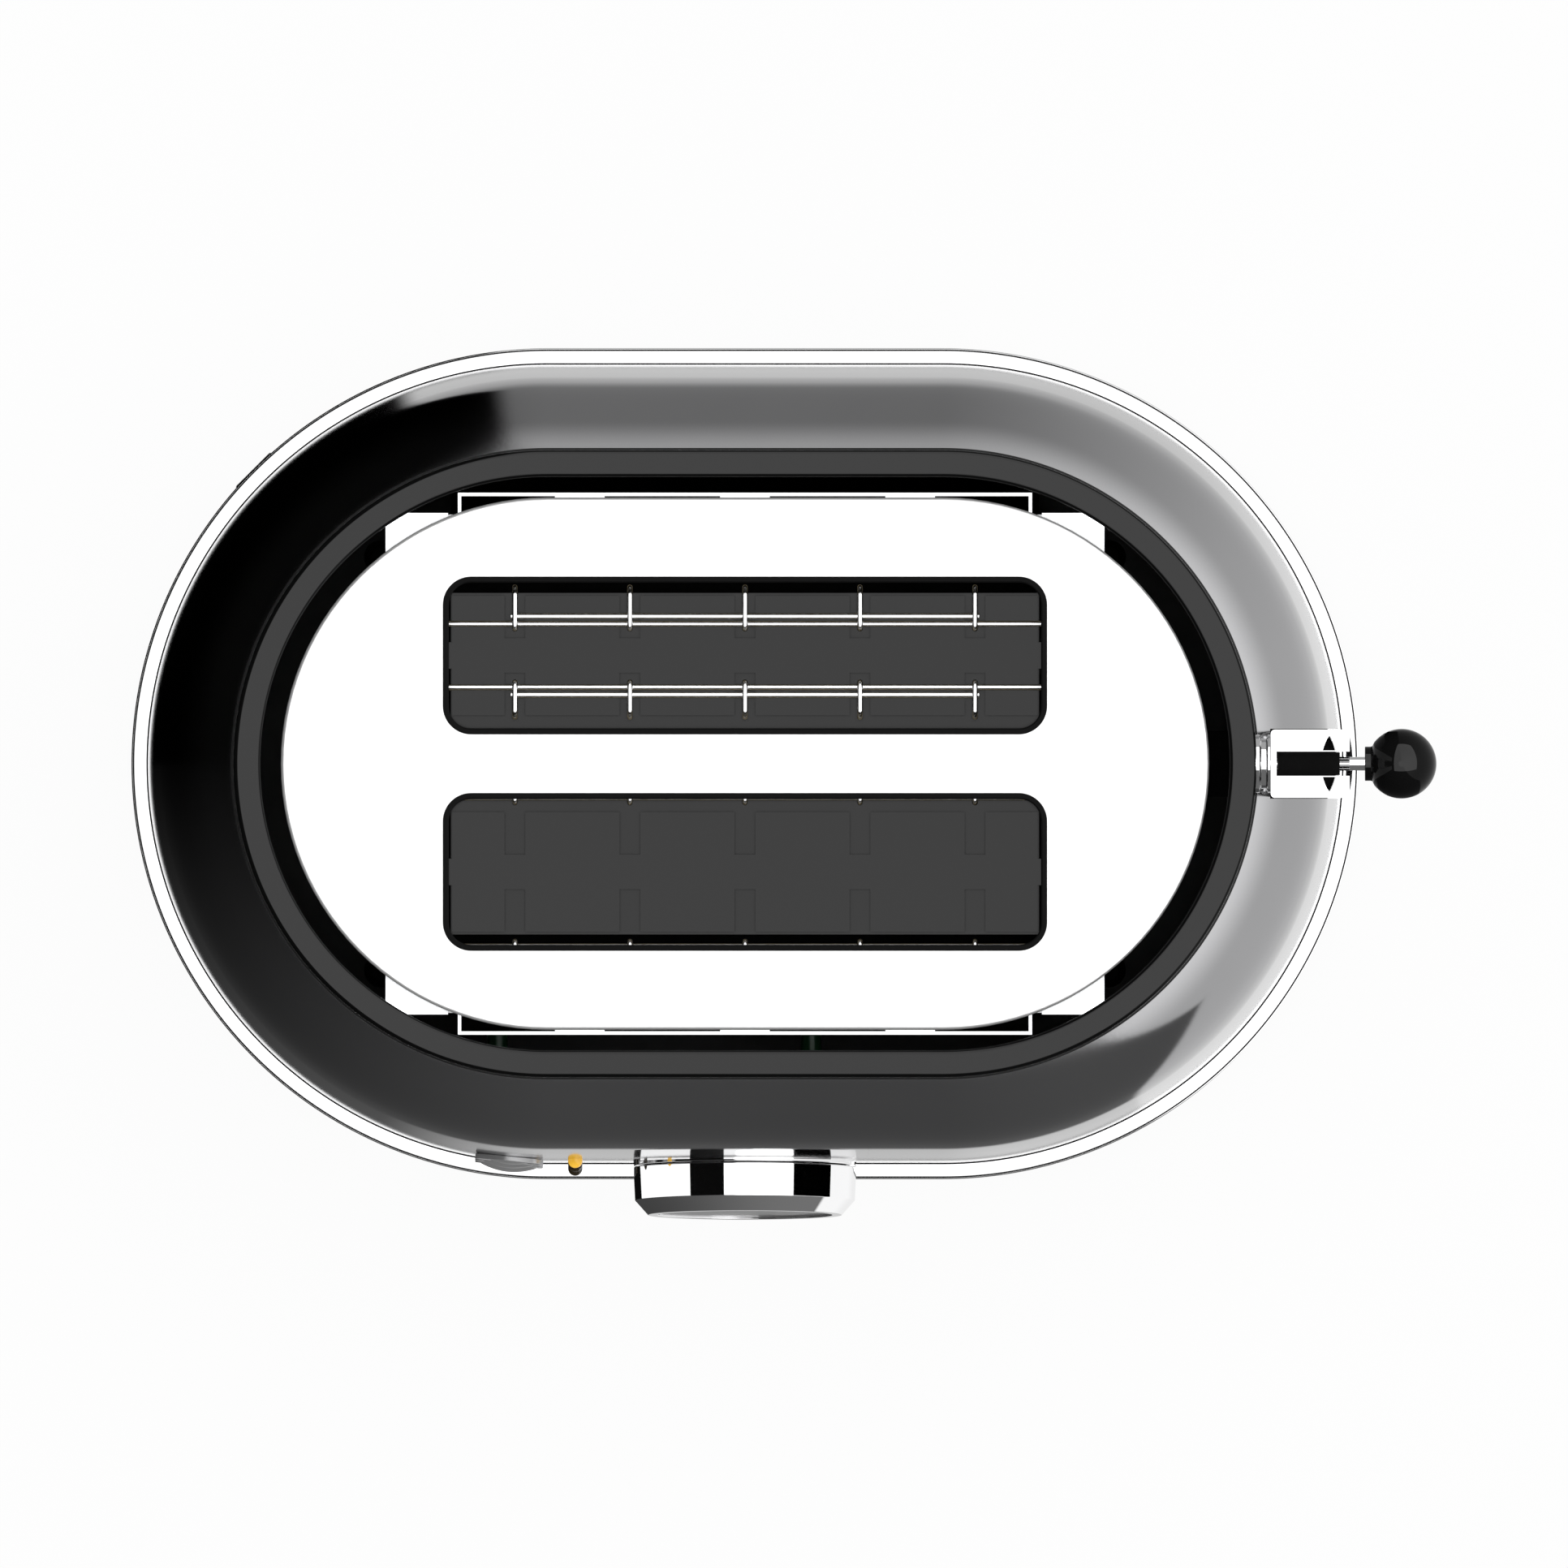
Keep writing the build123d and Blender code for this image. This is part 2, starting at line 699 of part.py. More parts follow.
def lever_rail():
    """A chrome extrusion: a channel open outwards, its groove shaped like two petals."""
    side = rail_width / 2
    middle = (rail_inner_x + rail_outer_x) / 2
    outline = Pos(middle, 0) * RectangleRounded(rail_outer_x - rail_inner_x, rail_width, 1.0)
    floor = rail_inner_x + rail_web
    channel = Pos((floor + beyond) / 2, 0) * Rectangle(beyond - floor, rail_slot_width)
    section = outline - channel - petals(0)
    crown = ledge_top + plinth_rise + 0.4
    rail = extrude(Plane.XY.offset(crown) * section, neck_height + side - crown)
    foot_end = half_straight + shell_foot_radius - 0.4
    foot = extrude(Plane.XY.offset(ledge_top) * section, crown - ledge_top)
    rail += foot & block((rail_inner_x - 1, foot_end), (-side, side), (ledge_top, crown))
    slit = rod_radius + 0.4
    low = rod_height - lift_travel - slit - 1
    return rail - block((rail_inner_x - 1, floor + 1), (-slit, slit), (low, rod_height + slit))


def rail_neck():
    """A turned collar, waisted in the middle, that ties the head of the rail to the body."""
    start = half_straight + collar_radius
    length = rail_inner_x - start
    waist = [(0.28, 0), (0.42, 1.0), (0.5, 1.3), (0.62, 0.9), (0.72, 0.3), (0.85, 0), (1, 0)]
    outline = [(-0.6, 0), (-0.6, neck_radius)]
    outline += [(length * along, neck_radius - drawn_in) for along, drawn_in in waist]
    outline.append((length, 0))
    plane = Plane(origin=(start, 0, neck_height), x_dir=(0, 1, 0), z_dir=(1, 0, 0))
    return turned(outline, plane) - slab(collar_radius, shoulder_height - 5, collar_top)


def lever_slider():
    """A moulded shoe that fills the channel and its groove, round the rod."""
    half = rail_slot_width / 2 - slip_gap
    low = rod_height - slider_half_height
    span = (rail_inner_x + rail_web + slip_gap, groove_x + groove_half_width + 0.5)
    shoe = block(span, (-half, half), (low, rod_height + slider_half_height))
    shoe += extrude(Plane.XY.offset(low) * petals(free_gap), 2 * slider_half_height)
    return shoe - level_bar(rod_radius + press_gap, (rail_inner_x, beyond), rod_height)


def lever_rod():
    """A round rod, headed behind the bracket's arm, that carries the shoe and the ball."""
    rod = level_bar(rod_radius, (arm_x, ball_flange_x + ball_reach - 0.9), rod_height)
    return rod + level_bar(rod_radius + 1, (arm_x - 1.5, arm_x), rod_height)


def lever_ball():
    """A ball with a short flange that flows into it, bored for the rod."""
    flange = ball_flange_radius
    tip = ball_reach + ball_radius
    rim = 1.4
    meet = math.radians(142)
    meet_point = (ball_radius * math.sin(meet), ball_reach + ball_radius * math.cos(meet))
    throat = ThreePointArc((flange, rim), (flange + 0.25, rim + 0.6), meet_point)
    bow = ThreePointArc(meet_point, (ball_radius, ball_reach), (0, tip))
    outline = Wire([
        Line((0, 0), (flange, 0)), Line((flange, 0), (flange, rim)), throat, bow, Line((0, tip), (0, 0)),
    ])
    ball = Plane(origin=(ball_flange_x, 0, rod_height), x_dir=(0, 1, 0), z_dir=(1, 0, 0)) * revolve(
        Plane.XZ * make_face(outline), Axis.Z
    )
    return ball - level_bar(rod_radius + press_gap, (rail_inner_x, ball_x + 0.1), rod_height)


def dial_plane():
    """The dial stands on the wall but leans back a little more than the wall does."""
    tilt = math.radians(dial_lean)
    axis = (0, -math.cos(tilt), math.sin(tilt))
    return Plane(origin=wall_plane(0, control_height).origin, x_dir=(1, 0, 0), z_dir=axis)


def dial_bezel():
    """A wedge-shaped ring between the wall and the leaning dial."""
    inner = dial_radius - bezel_rim
    outline = [(-1, inner), (-1, dial_radius), (bezel_thickness, dial_radius), (bezel_thickness, inner)]
    side, depth = 3 * dial_radius, 4 * bezel_rim
    behind = wall_plane(0, control_height) * (Pos(0, 0, 0.1 - depth / 2) * Box(side, side, depth))
    return turned(outline, dial_plane()) - behind


def browning_dial():
    """A turned cap with a chamfered front, a dished face and a hub that grips the shaft."""
    seat = dial_front - 1.2
    hub = shaft_radius + dial_wall
    outline = [
        (dial_back, dial_radius), (dial_front - dial_chamfer, dial_radius),
        (dial_front, dial_radius - dial_chamfer), (dial_front, dial_face_radius + slip_gap),
        (seat, dial_face_radius + slip_gap), (seat, shaft_radius), (dial_back, shaft_radius),
        (dial_back, hub), (seat - 2, hub), (seat - 2, dial_radius - dial_wall),
        (dial_back, dial_radius - dial_wall),
    ]
    return turned(outline, dial_plane())


def dial_face():
    """A thin disc in the dial's front, dished towards the middle."""
    seat = dial_front - 1.2
    outline = [
        (seat, 0), (seat, dial_face_radius), (dial_front - 0.5, dial_face_radius),
        (dial_front - 0.7, dial_face_radius - 1), (dial_front - 0.9, 0),
    ]
    return turned(outline, dial_plane())


def dial_shaft():
    seat = dial_front - 1.2
    end = -shaft_length_inside
    outline = [(end, 0), (end, shaft_radius), (seat, shaft_radius), (seat, 0)]
    return turned(outline, dial_plane())


def dial_control():
    """The rotary control behind the wall: a plate on the wall, a bored round body that meets the board."""
    seat = -shell_wall - 0.4
    body = 8.5
    bottom = -shaft_length_inside - free_gap
    bore = shaft_radius + fit_gap
    outline = [
        (seat, bore), (seat, body + 1), (seat - 1.2, body + 1), (seat - 1.2, body),
        (bottom - 10, body), (bottom - 10, 0), (bottom, 0), (bottom, bore),
    ]
    board_space = block((-beyond, beyond), (board_y, 0), (0, beyond))
    return turned(outline, dial_plane()) - board_space


def control_board():
    """The board stands on four posts on the front panel."""
    left = button_x - board_margin
    low, high = control_height - board_half_height, control_height + board_half_height
    board = block((left, board_right), (board_y, board_y + board_thickness), (low, high))
    length = -panel_y - board_y - board_thickness
    for x in (left + 6, board_right - 6):
        for z in (low + 6, high - 6):
            board += Pos(x, -panel_y - length / 2, z) * Rot(90, 0, 0) * Cylinder(2.5, length)
    return board


def push_switches():
    """A square body with a round plunger behind each button."""
    bodies = []
    for height in control_heights:
        x = wall_plane(button_x, height).origin.X
        body = block((x - 3, x + 3), (board_y - switch_depth, board_y), (height - 3, height + 3))
        middle = Pos(x, board_y - (switch_depth + plunger_depth) / 2, height)
        bodies.append(body + middle * Rot(90, 0, 0) * Cylinder(1.6, plunger_depth - switch_depth))
    return Compound(bodies)


def button_bezels():
    """Slim rings set in the wall round each button."""
    bore = button_radius + fit_gap
    sleeve = button_radius + button_sleeve
    outline = [
        (0.1, bore), (1.0, bore), (1.0, button_bezel_radius - 0.4), (0.6, button_bezel_radius),
        (0.1, button_bezel_radius), (0.1, sleeve), (-3.0, sleeve), (-3.0, bore),
    ]
    return Compound([turned(outline, wall_plane(button_x, z)) for z in control_heights])


def push_button(index):
    """A cap with a rounded rim and a stem; each stands a little further out than the one above it."""
    plane = wall_plane(button_x, control_heights[index])
    front = button_proud + staggers[index]
    soft = 1.2
    rounding = soft * 0.3
    outline = [
        (-2.2, 0), (-2.2, button_radius), (front - soft, button_radius),
        (front - rounding, button_radius - rounding), (front, button_radius - soft), (front, 0),
    ]
    stem = plane * (Pos(0, 0, -12) * Cylinder(2.2, 22))
    reach = board_y - plunger_depth - button_travel - free_gap
    return turned(outline, plane) + (stem & block((-beyond, beyond), (-beyond, reach), (0, beyond)))


def indicator_lamps():
    """Three clear domed pins through the wall."""
    pins = []
    for height, stagger in zip(control_heights, staggers):
        front = lamp_proud + stagger
        outline = [
            (-3, 0), (-3, lamp_radius), (front - lamp_radius * 0.6, lamp_radius),
            (front - 0.4, lamp_radius * 0.75), (front - 0.1, lamp_radius * 0.4), (front, 0),
        ]
        pins.append(turned(outline, wall_plane(lamp_x, height)))
    return Compound(pins)


def lamp_holders():
    """Sleeves that carry the lamps in the wall."""
    bore = lamp_radius + press_gap
    sleeve = lamp_radius + lamp_sleeve
    rim = sleeve + 0.4
    outline = [(0.6, bore), (0.6, rim), (0.1, rim), (0.1, sleeve), (-4, sleeve), (-4, bore)]
    return Compound([turned(outline, wall_plane(lamp_x, z)) for z in control_heights])


def crumb_tray():
    """A shallow pan on the base floor, open above, long enough to reach its front at the rear."""
    low = pan_top + free_gap
    high = low + tray_depth
    rear = math.sqrt(ring_inner**2 - (tray_half_length - half_straight) ** 2) - 2 * free_gap
    inner_half = tray_half_length - sheet
    tray = block((-tray_half_length, tray_half_length), (-tray_half_width, rear), (low, high))
    hollow = (-tray_half_width + sheet, rear - sheet)
    tray -= block((-inner_half, inner_half), hollow, (low + sheet, high + 1))
    bridge = block((-half_straight + 8, half_straight - 8), (rear - 0.1, ring_inner - 0.05), (low, high))
    return tray + bridge


def cord_gland():
    """A rubber bush in the plinth for a cord: a round lip outside and a groove that holds the wall."""
    bore = gland_radius - 1.3
    outline = [
        (-9, bore), (1.4, bore), (1.4, gland_radius), (-0.3, gland_radius), (-0.3, gland_radius + 1.5),
        (-2.5, gland_radius + 1.5), (-2.5, gland_radius + 0.5), (-9, gland_radius + 0.5),
    ]
    return turned(outline, gland_plane())


def terminal_block():
    """A moulded block on the base with three screw wells."""
    near, far = -guide_rod_x - 10, -guide_rod_x - 22
    top = pan_top + 12
    body = block((far, near), (10, 34), (pan_top, top))
    for y in (14, 22, 30):
        body -= post(2, ((near + far) / 2, y), pan_top + 4, top + 1)
    return body


def base_screws():
    """Pan-head screws up through the base into the feet of the end frames."""
    end = pan_floor + 3
    head = screw_radius + 1.4
    outline = [(-1.8, 0), (-1.8, head), (0, head), (0, screw_radius), (end, screw_radius), (end, 0)]
    return Compound([turned(outline, Plane(origin=(x, y, foot_height))) for x, y in screw_places])


pieces = {
    "outer_shell": outer_shell,
    "plinth_ring": plinth_ring,
    "tray_front": tray_front,
    "base_pan": base_pan,
    "rubber_feet": rubber_feet,
    "top_collar": top_collar,
    "top_plate": top_plate,
    "guide_rear_outer": lambda: guide_cage(1, 1, False),
    "guide_rear_inner": lambda: guide_cage(1, -1, False),
    "guide_front_inner": lambda: guide_cage(-1, 1, True),
    "guide_front_outer": lambda: guide_cage(-1, -1, True),
    "end_frame_left": lambda: end_frame(-1),
    "end_frame_right": lambda: end_frame(1),
    "side_panel_rear": lambda: side_panel(1),
    "side_panel_front": lambda: side_panel(-1),
    "heater_rear_outer": lambda: heater(*heater_places[0]),
    "heater_rear_inner": lambda: heater(*heater_places[1]),
    "heater_front_inner": lambda: heater(*heater_places[2]),
    "heater_front_outer": lambda: heater(*heater_places[3]),
    "heater_windings": heater_windings,
    "reflector_rear": lambda: reflector(1),
    "reflector_front": lambda: reflector(-1),
    "bread_racks": bread_racks,
    "carriage_bracket_left": lambda: carriage_bracket(-1),
    "carriage_bracket_right": lambda: carriage_bracket(1),
    "guide_rods": guide_rods,
    "lift_spring": lift_spring,
    "latch_magnet": latch_magnet,
    "magnet_bracket": magnet_bracket,
    "armature": armature,
    "lever_rail": lever_rail,
    "rail_neck": rail_neck,
    "lever_slider": lever_slider,
    "lever_rod": lever_rod,
    "lever_ball": lever_ball,
    "dial_bezel": dial_bezel,
    "browning_dial": browning_dial,
    "dial_face": dial_face,
    "dial_shaft": dial_shaft,
    "dial_control": dial_control,
    "control_board": control_board,
    "push_switches": push_switches,
    "button_bezels": button_bezels,
    "reheat_button": lambda: push_button(0),
    "defrost_button": lambda: push_button(1),
    "cancel_button": lambda: push_button(2),
    "indicator_lamps": indicator_lamps,
    "lamp_holders": lamp_holders,
    "crumb_tray": crumb_tray,
    "cord_gland": cord_gland,
    "terminal_block": terminal_block,
    "base_screws": base_screws,
}

# The origin is the middle of the underside, so the body lies off centre by half of what stands out of it.
left_end = -half_straight - plinth_radius
right_end = ball_x + ball_radius
dial_tilt = math.radians(dial_lean)
dial_end = -wall_radius(control_height) - dial_front * math.cos(dial_tilt)
dial_end -= (dial_radius - dial_chamfer) * math.sin(dial_tilt)
shift = (-(left_end + right_end) / 2, -(dial_end + plinth_radius) / 2, 0)
print("crown radius", round(shoulder_arcs()[-1][0], 2), "shift", [round(v, 3) for v in shift])

os.makedirs("parts", exist_ok=True)
for name, make in pieces.items():
    export_step(Pos(*shift) * make(), f"parts/{name}.step")
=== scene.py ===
import json
import math

import bmesh
import bpy
import numpy as np
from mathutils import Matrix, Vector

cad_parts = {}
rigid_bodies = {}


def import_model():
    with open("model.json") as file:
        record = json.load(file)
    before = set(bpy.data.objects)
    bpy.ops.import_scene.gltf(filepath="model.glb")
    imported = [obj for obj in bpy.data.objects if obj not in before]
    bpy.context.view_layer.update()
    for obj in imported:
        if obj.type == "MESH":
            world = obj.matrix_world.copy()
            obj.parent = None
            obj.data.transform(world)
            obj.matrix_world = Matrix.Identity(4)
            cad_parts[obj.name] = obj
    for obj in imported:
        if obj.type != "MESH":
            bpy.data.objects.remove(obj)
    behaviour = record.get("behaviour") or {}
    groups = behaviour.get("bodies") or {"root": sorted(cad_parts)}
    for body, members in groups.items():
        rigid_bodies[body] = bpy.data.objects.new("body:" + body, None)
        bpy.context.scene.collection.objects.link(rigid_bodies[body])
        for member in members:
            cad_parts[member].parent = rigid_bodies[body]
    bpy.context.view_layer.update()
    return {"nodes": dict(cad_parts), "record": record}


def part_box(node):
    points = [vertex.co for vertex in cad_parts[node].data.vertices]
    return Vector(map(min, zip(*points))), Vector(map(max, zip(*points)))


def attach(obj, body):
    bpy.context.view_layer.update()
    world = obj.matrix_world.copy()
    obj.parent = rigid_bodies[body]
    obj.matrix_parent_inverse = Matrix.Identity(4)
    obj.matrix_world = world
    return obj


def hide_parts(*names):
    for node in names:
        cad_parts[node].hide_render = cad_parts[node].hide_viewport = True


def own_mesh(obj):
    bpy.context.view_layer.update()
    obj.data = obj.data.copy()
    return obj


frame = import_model()
nodes = frame["nodes"]

# %% [markdown]
# The photograph looks straight down on a toaster, and its outlines keep one scale from the foot to
# the top, so the lens was long. A perspective camera far away could show that; an orthographic one
# needs no distance, only how much it sees. The picture is 1932 pixels wide and 5.089 of them make
# a millimetre, so it sees 1932 / 5.089 mm.

# %% The camera
MM_PER_M = 1000
PHOTO_SIDE = 1932
PIXELS_PER_MM = 5.089
CAMERA_HEIGHT = 1.5
view_width = PHOTO_SIDE / PIXELS_PER_MM / MM_PER_M


def add(name, data):
    """An object in the scene that holds a camera, a lamp or a mesh."""
    made = bpy.data.objects.new(name, data)
    bpy.context.scene.collection.objects.link(made)
    return made


camera_data = bpy.data.cameras.new("camera")
camera_data.type = "ORTHO"
camera_data.ortho_scale = view_width
camera = add("camera", camera_data)
camera.location = (0, 0, CAMERA_HEIGHT)
bpy.context.scene.camera = camera
print("camera: sees", round(view_width * MM_PER_M, 1), "mm")

# %% [markdown]
# Finishes are node trees, and most of what a finish does is arithmetic on masks. The nodes could
# be linked one by one, but then the formula is lost among the links. So a small class wraps a
# socket and turns + - * / into Math nodes, and every other node comes from one method, which sets
# its settings before its sockets.


# %% Shader sockets as numbers
class Value:
    """An output socket that can be used in a Python expression."""

    def __init__(self, tree, socket):
        self.tree = tree
        self.socket = socket

    def math(self, operation, *others):
        """One Math node: this value first, then the others."""
        values = {str(i): value for i, value in enumerate((self, *others))}
        return self.tree.node("Math", 0, {"operation": operation}, **values)

    def __add__(self, other):
        return self.math("ADD", other)

    def __mul__(self, other):
        return self.math("MULTIPLY", other)

    def __sub__(self, other):
        return self.math("SUBTRACT", other)

    def __rsub__(self, other):
        return self * -1.0 + other

    def __truediv__(self, other):
        return self.math("DIVIDE", other)

    def __lt__(self, other):
        return self.math("LESS_THAN", other)

    def smooth(self, low, high):
        """0 below low, 1 above high, and an S curve between them."""
        return self.tree.node("MapRange", "Result", {"interpolation_type": "SMOOTHSTEP"},
                              **{"Value": self, "From Min": low, "From Max": high})


class Tree:
    """The node tree of a material or of the world."""

    def __init__(self, owner):
        owner.use_nodes = True
        self.nodes = owner.node_tree.nodes
        self.links = owner.node_tree.links
        self.nodes.clear()

    def node(self, kind, output=0, settings=None, **inputs):
        """Adds a node: its settings first, then its sockets. Gives one output, if it has any."""
        made = self.nodes.new("ShaderNode" + kind)
        for name, value in (settings or {}).items():
            setattr(made, name, value)
        for name, value in inputs.items():
            self.put(made.inputs[int(name) if name.isdigit() else name], value)
        return Value(self, made.outputs[output]) if len(made.outputs) else None

    def put(self, socket, value):
        """Links a Value to a socket, or sets the socket's own number or colour."""
        if isinstance(value, Value):
            self.links.new(value.socket, socket)
        elif isinstance(value, tuple) and socket.type == "RGBA" and len(value) == 3:
            socket.default_value = (*value, 1.0)
        else:
            socket.default_value = value

    def output(self, kind, shader):
        """Sends a shader to the output node of a material or of the world."""
        self.node("Output" + kind, Surface=shader)

    def colours(self, factor, first, second):
        """Mixes two colours by a factor. A Mix node keeps them in its sockets 6 and 7."""
        return self.node("Mix", 2, {"data_type": "RGBA"}, **{"0": factor, "6": first, "7": second})

    def shaders(self, factor, first, second):
        """Mixes two shaders by a factor."""
        return self.node("MixShader", **{"0": factor, "1": first, "2": second})

    def split(self, vector):
        """The x, y and z of a vector."""
        made = self.node("SeparateXYZ", Vector=vector).socket.node
        return [Value(self, socket) for socket in made.outputs]

    def place(self, stretch=(1, 1, 1)):
        """Object coordinates, multiplied so that a pattern can run along one axis."""
        return self.node("Mapping", Vector=self.node("TexCoord", "Object"), Scale=stretch)

    def noise(self, scale, detail=3.0, stretch=(1, 1, 1)):
        """Noise about 0.5, in waves of 1 / scale metres."""
        place = self.place(stretch)
        return self.node("TexNoise", "Fac", Vector=place, Scale=scale, Detail=detail)


print("socket maths is ready")

# %% [markdown]
# One function makes every finish of the toaster: a base, changed a little by slow noise, and a
# fine grain that bends the normal. A picture of metal could be wrapped round instead, but it would
# show its seams and one size of grain; noise in the object's own space fits a part of any shape.

# %% A finish
GRAIN_DEPTH = 0.0001
finishes = {}


def finish(name, base, rough, metal=0.0, waves=60.0, spread=0.02, grain=0.0, grain_scale=900.0,
           stretch=(1, 1, 1), tint=0.04, **extra):
    """Makes a finish and keeps it by name.

    With slow and fine noise about 0.5, its tone runs from base * (1 - tint) to base * (1 + tint)
    with the slow one, and its roughness is
    rough + spread * (slow - 0.5) + spread / 2 * (fine - 0.5).
    """
    material = bpy.data.materials.new(name)
    tree = Tree(material)
    slow = tree.noise(waves, 4.0)
    fine = tree.noise(grain_scale, 2.0, stretch)
    darker = tuple(c * (1 - tint) for c in base)
    lighter = tuple(min(1.0, c * (1 + tint)) for c in base)
    inputs = {
        "Base Color": tree.colours(slow, darker, lighter),
        "Roughness": (slow - 0.5) * spread + (fine - 0.5) * (spread / 2) + rough,
        "Metallic": metal,
    }
    if grain:
        inputs["Normal"] = tree.node("Bump", Strength=grain, Distance=GRAIN_DEPTH, Height=fine)
    for socket, value in extra.items():
        inputs[socket.replace("_", " ")] = value
    tree.output("Material", tree.node("BsdfPrincipled", **inputs))
    finishes[name] = material


# %% [markdown]
# The metals. The shell is a dark bright plate: a metal that reflects a third of the light, so it
# goes black where the studio is dark. The plinth is chrome, nearly white and very smooth. Sheet
# and rods inside have a rolled or drawn grain along one axis, made by noise that is squeezed
# across it.

# %% Metals
finish("dark_plate", (0.34, 0.34, 0.345), 0.1, metal=1.0, waves=30, spread=0.03, grain=0.02,
       grain_scale=700)
finish("bright_chrome", (0.93, 0.93, 0.935), 0.035, metal=1.0, waves=30, tint=0.01)
finish("satin_chrome", (0.5, 0.5, 0.505), 0.3, metal=0.6, spread=0.04, grain=0.03)
finish("polished_steel", (0.93,) * 3, 0.2, metal=0.6, waves=25, spread=0.04, grain=0.03,
       grain_scale=500, stretch=(1, 30, 30), tint=0.01)
finish("guide_wire", (0.86,) * 3, 0.12, metal=1.0, waves=200, spread=0.05, grain=0.04,
       grain_scale=1500)
finish("zinc_sheet", (0.85, 0.86, 0.87), 0.16, metal=1.0, spread=0.1, grain=0.05,
       grain_scale=600, stretch=(1, 1, 12))
finish("ground_rod", (0.6, 0.6, 0.61), 0.2, metal=1.0, waves=80, spread=0.08, grain=0.06,
       stretch=(1, 1, 20))
finish("spring_wire", (0.5,) * 3, 0.25, metal=1.0, waves=80, spread=0.08, grain=0.05)
finish("heater_ribbon", (0.34, 0.31, 0.29), 0.35, metal=1.0, waves=90, spread=0.1, grain=0.05,
       stretch=(20, 1, 1))
finish("dial_metal", (0.8, 0.8, 0.805), 0.36, metal=1.0, spread=0.06, grain=0.05,
       grain_scale=700)
finish("copper_winding", (0.6, 0.26, 0.1), 0.3, metal=1.0, waves=90, spread=0.1, grain=0.15,
       stretch=(1, 1, 18))
print("metals:", len(finishes))

# %% [markdown]
# The rest. Black plastic gets all its light from gloss, so its colour is nearly nothing, and a low
# IOR says how little it mirrors. The steel inside that has been over the heat is treated as sooty:
# black and dull. The lamps are tinted glass. The upper one glows as an indicator that is on, a glow
# that also paints the light falling on it; the lower ones get a darker copy, which is painted
# shade.

# %% Plastics, soot, mica and glass
finish("gloss_black", (0.0015,) * 3, 0.03, waves=35, tint=0.1, IOR=1.2)
finish("black_moulding", (0.012,) * 3, 0.42, spread=0.1, grain=0.12, grain_scale=1400)
finish("black_rubber", (0.014,) * 3, 0.62, spread=0.12, grain=0.15, grain_scale=1100)
finish("dark_steel", (0.003,) * 3, 0.03, IOR=1.43)
finish("sooty_steel", (0.004,) * 3, 0.5, spread=0.1, grain=0.1, grain_scale=700, IOR=1.2)
finish("mica", (0.42, 0.36, 0.24), 0.45, waves=70, spread=0.2, grain=0.1, grain_scale=400,
       tint=0.25)
finish("circuit_board", (0.02, 0.1, 0.04), 0.3, spread=0.1, grain=0.05, tint=0.2)
# The amber glass glows: an indicator that is on, and also painted light on the upper lamp.
finish("amber_glass", (0.95, 0.55, 0.06), 0.04, waves=200, tint=0.15,
       Emission_Color=(1.0, 0.5, 0.04), Emission_Strength=0.35)
# Painted shade: a darker copy of the amber glass for the two lower lamps.
finish("dark_amber_glass", (0.03, 0.02, 0.008), 0.04, waves=200, tint=0.15)

SOOTY_NODES = ("carriage_bracket_left", "carriage_bracket_right", "reflector_rear",
               "reflector_front", "lever_slider")
slot_of = {part["node"]: part["material_slot"] for part in frame["record"]["subparts"]}
for name, node in nodes.items():
    node.data.materials.clear()
    node.data.materials.append(finishes["sooty_steel" if name in SOOTY_NODES else slot_of[name]])
print("finishes:", len(finishes), "given to", len(nodes), "nodes")

# %% [markdown]
# The crumb tray shows as a dark mirror through both slots, and dull towards the walls. Two trays
# with two finishes would show a seam, so one material does both, with a mask across the tray.

# %% The tray's finish
TRAY_MIDDLE = 0.0049
CLEAN_HALF, SOOTY_HALF = 0.05, 0.054


def tray_finish():
    """Roughness is 0.03 within a band about the tray's middle line and 0.88 outside it."""
    material = bpy.data.materials.new("tray_steel")
    tree = Tree(material)
    y = tree.split(tree.node("TexCoord", "Object"))[1]
    sooty = (y - TRAY_MIDDLE).math("ABSOLUTE").smooth(CLEAN_HALF, SOOTY_HALF)
    tone = tree.colours(tree.noise(60.0), (0.0025,) * 3, (0.0035,) * 3)
    shader = tree.node("BsdfPrincipled", IOR=1.43, Roughness=sooty * 0.85 + 0.03,
                       **{"Base Color": tone})
    tree.output("Material", shader)
    return material


nodes["crumb_tray"].data.materials[0] = tray_finish()
print("the tray is a mirror over", round(CLEAN_HALF * 2 * MM_PER_M), "mm")

# %% [markdown]
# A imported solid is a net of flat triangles, which a mirror finish shows at once. So each bright
# outside face is worked out again here as a fine grid of points, in millimetres from the middle of
# the foot, and stands for its solid. The foot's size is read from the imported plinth, and the rest
# is set out from it with the sizes that the solids have. Subdividing the solids would be less
# work, but it rounds what should stay flat.

# %% Grids and solids
foot_low, foot_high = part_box("plinth_ring")
CENTRE = np.array([(foot_low.x + foot_high.x) / 2, (foot_low.y + foot_high.y) / 2, 0.0])
PLINTH_RADIUS = (foot_high.y - foot_low.y) / 2 * MM_PER_M
HALF_STRAIGHT = (foot_high.x - foot_low.x) / 2 * MM_PER_M - PLINTH_RADIUS
WELD, SLIVER = 1e-6, 1e-7
SHARP = 32
print("plinth radius", round(PLINTH_RADIUS, 2), "half straight", round(HALF_STRAIGHT, 2), "mm")


def quads(rows, columns, close_rows=False, close_columns=False):
    """Faces of a grid: each joins four neighbours; a closed side joins the last to the first."""
    r = np.arange(rows if close_rows else rows - 1)
    c = np.arange(columns if close_columns else columns - 1)
    r, c = np.meshgrid(r, c, indexing="ij")
    up, on = (r + 1) % rows, (c + 1) % columns
    corners = [r * columns + c, r * columns + on, up * columns + on, up * columns + c]
    return np.stack(corners, -1).reshape(-1, 4)


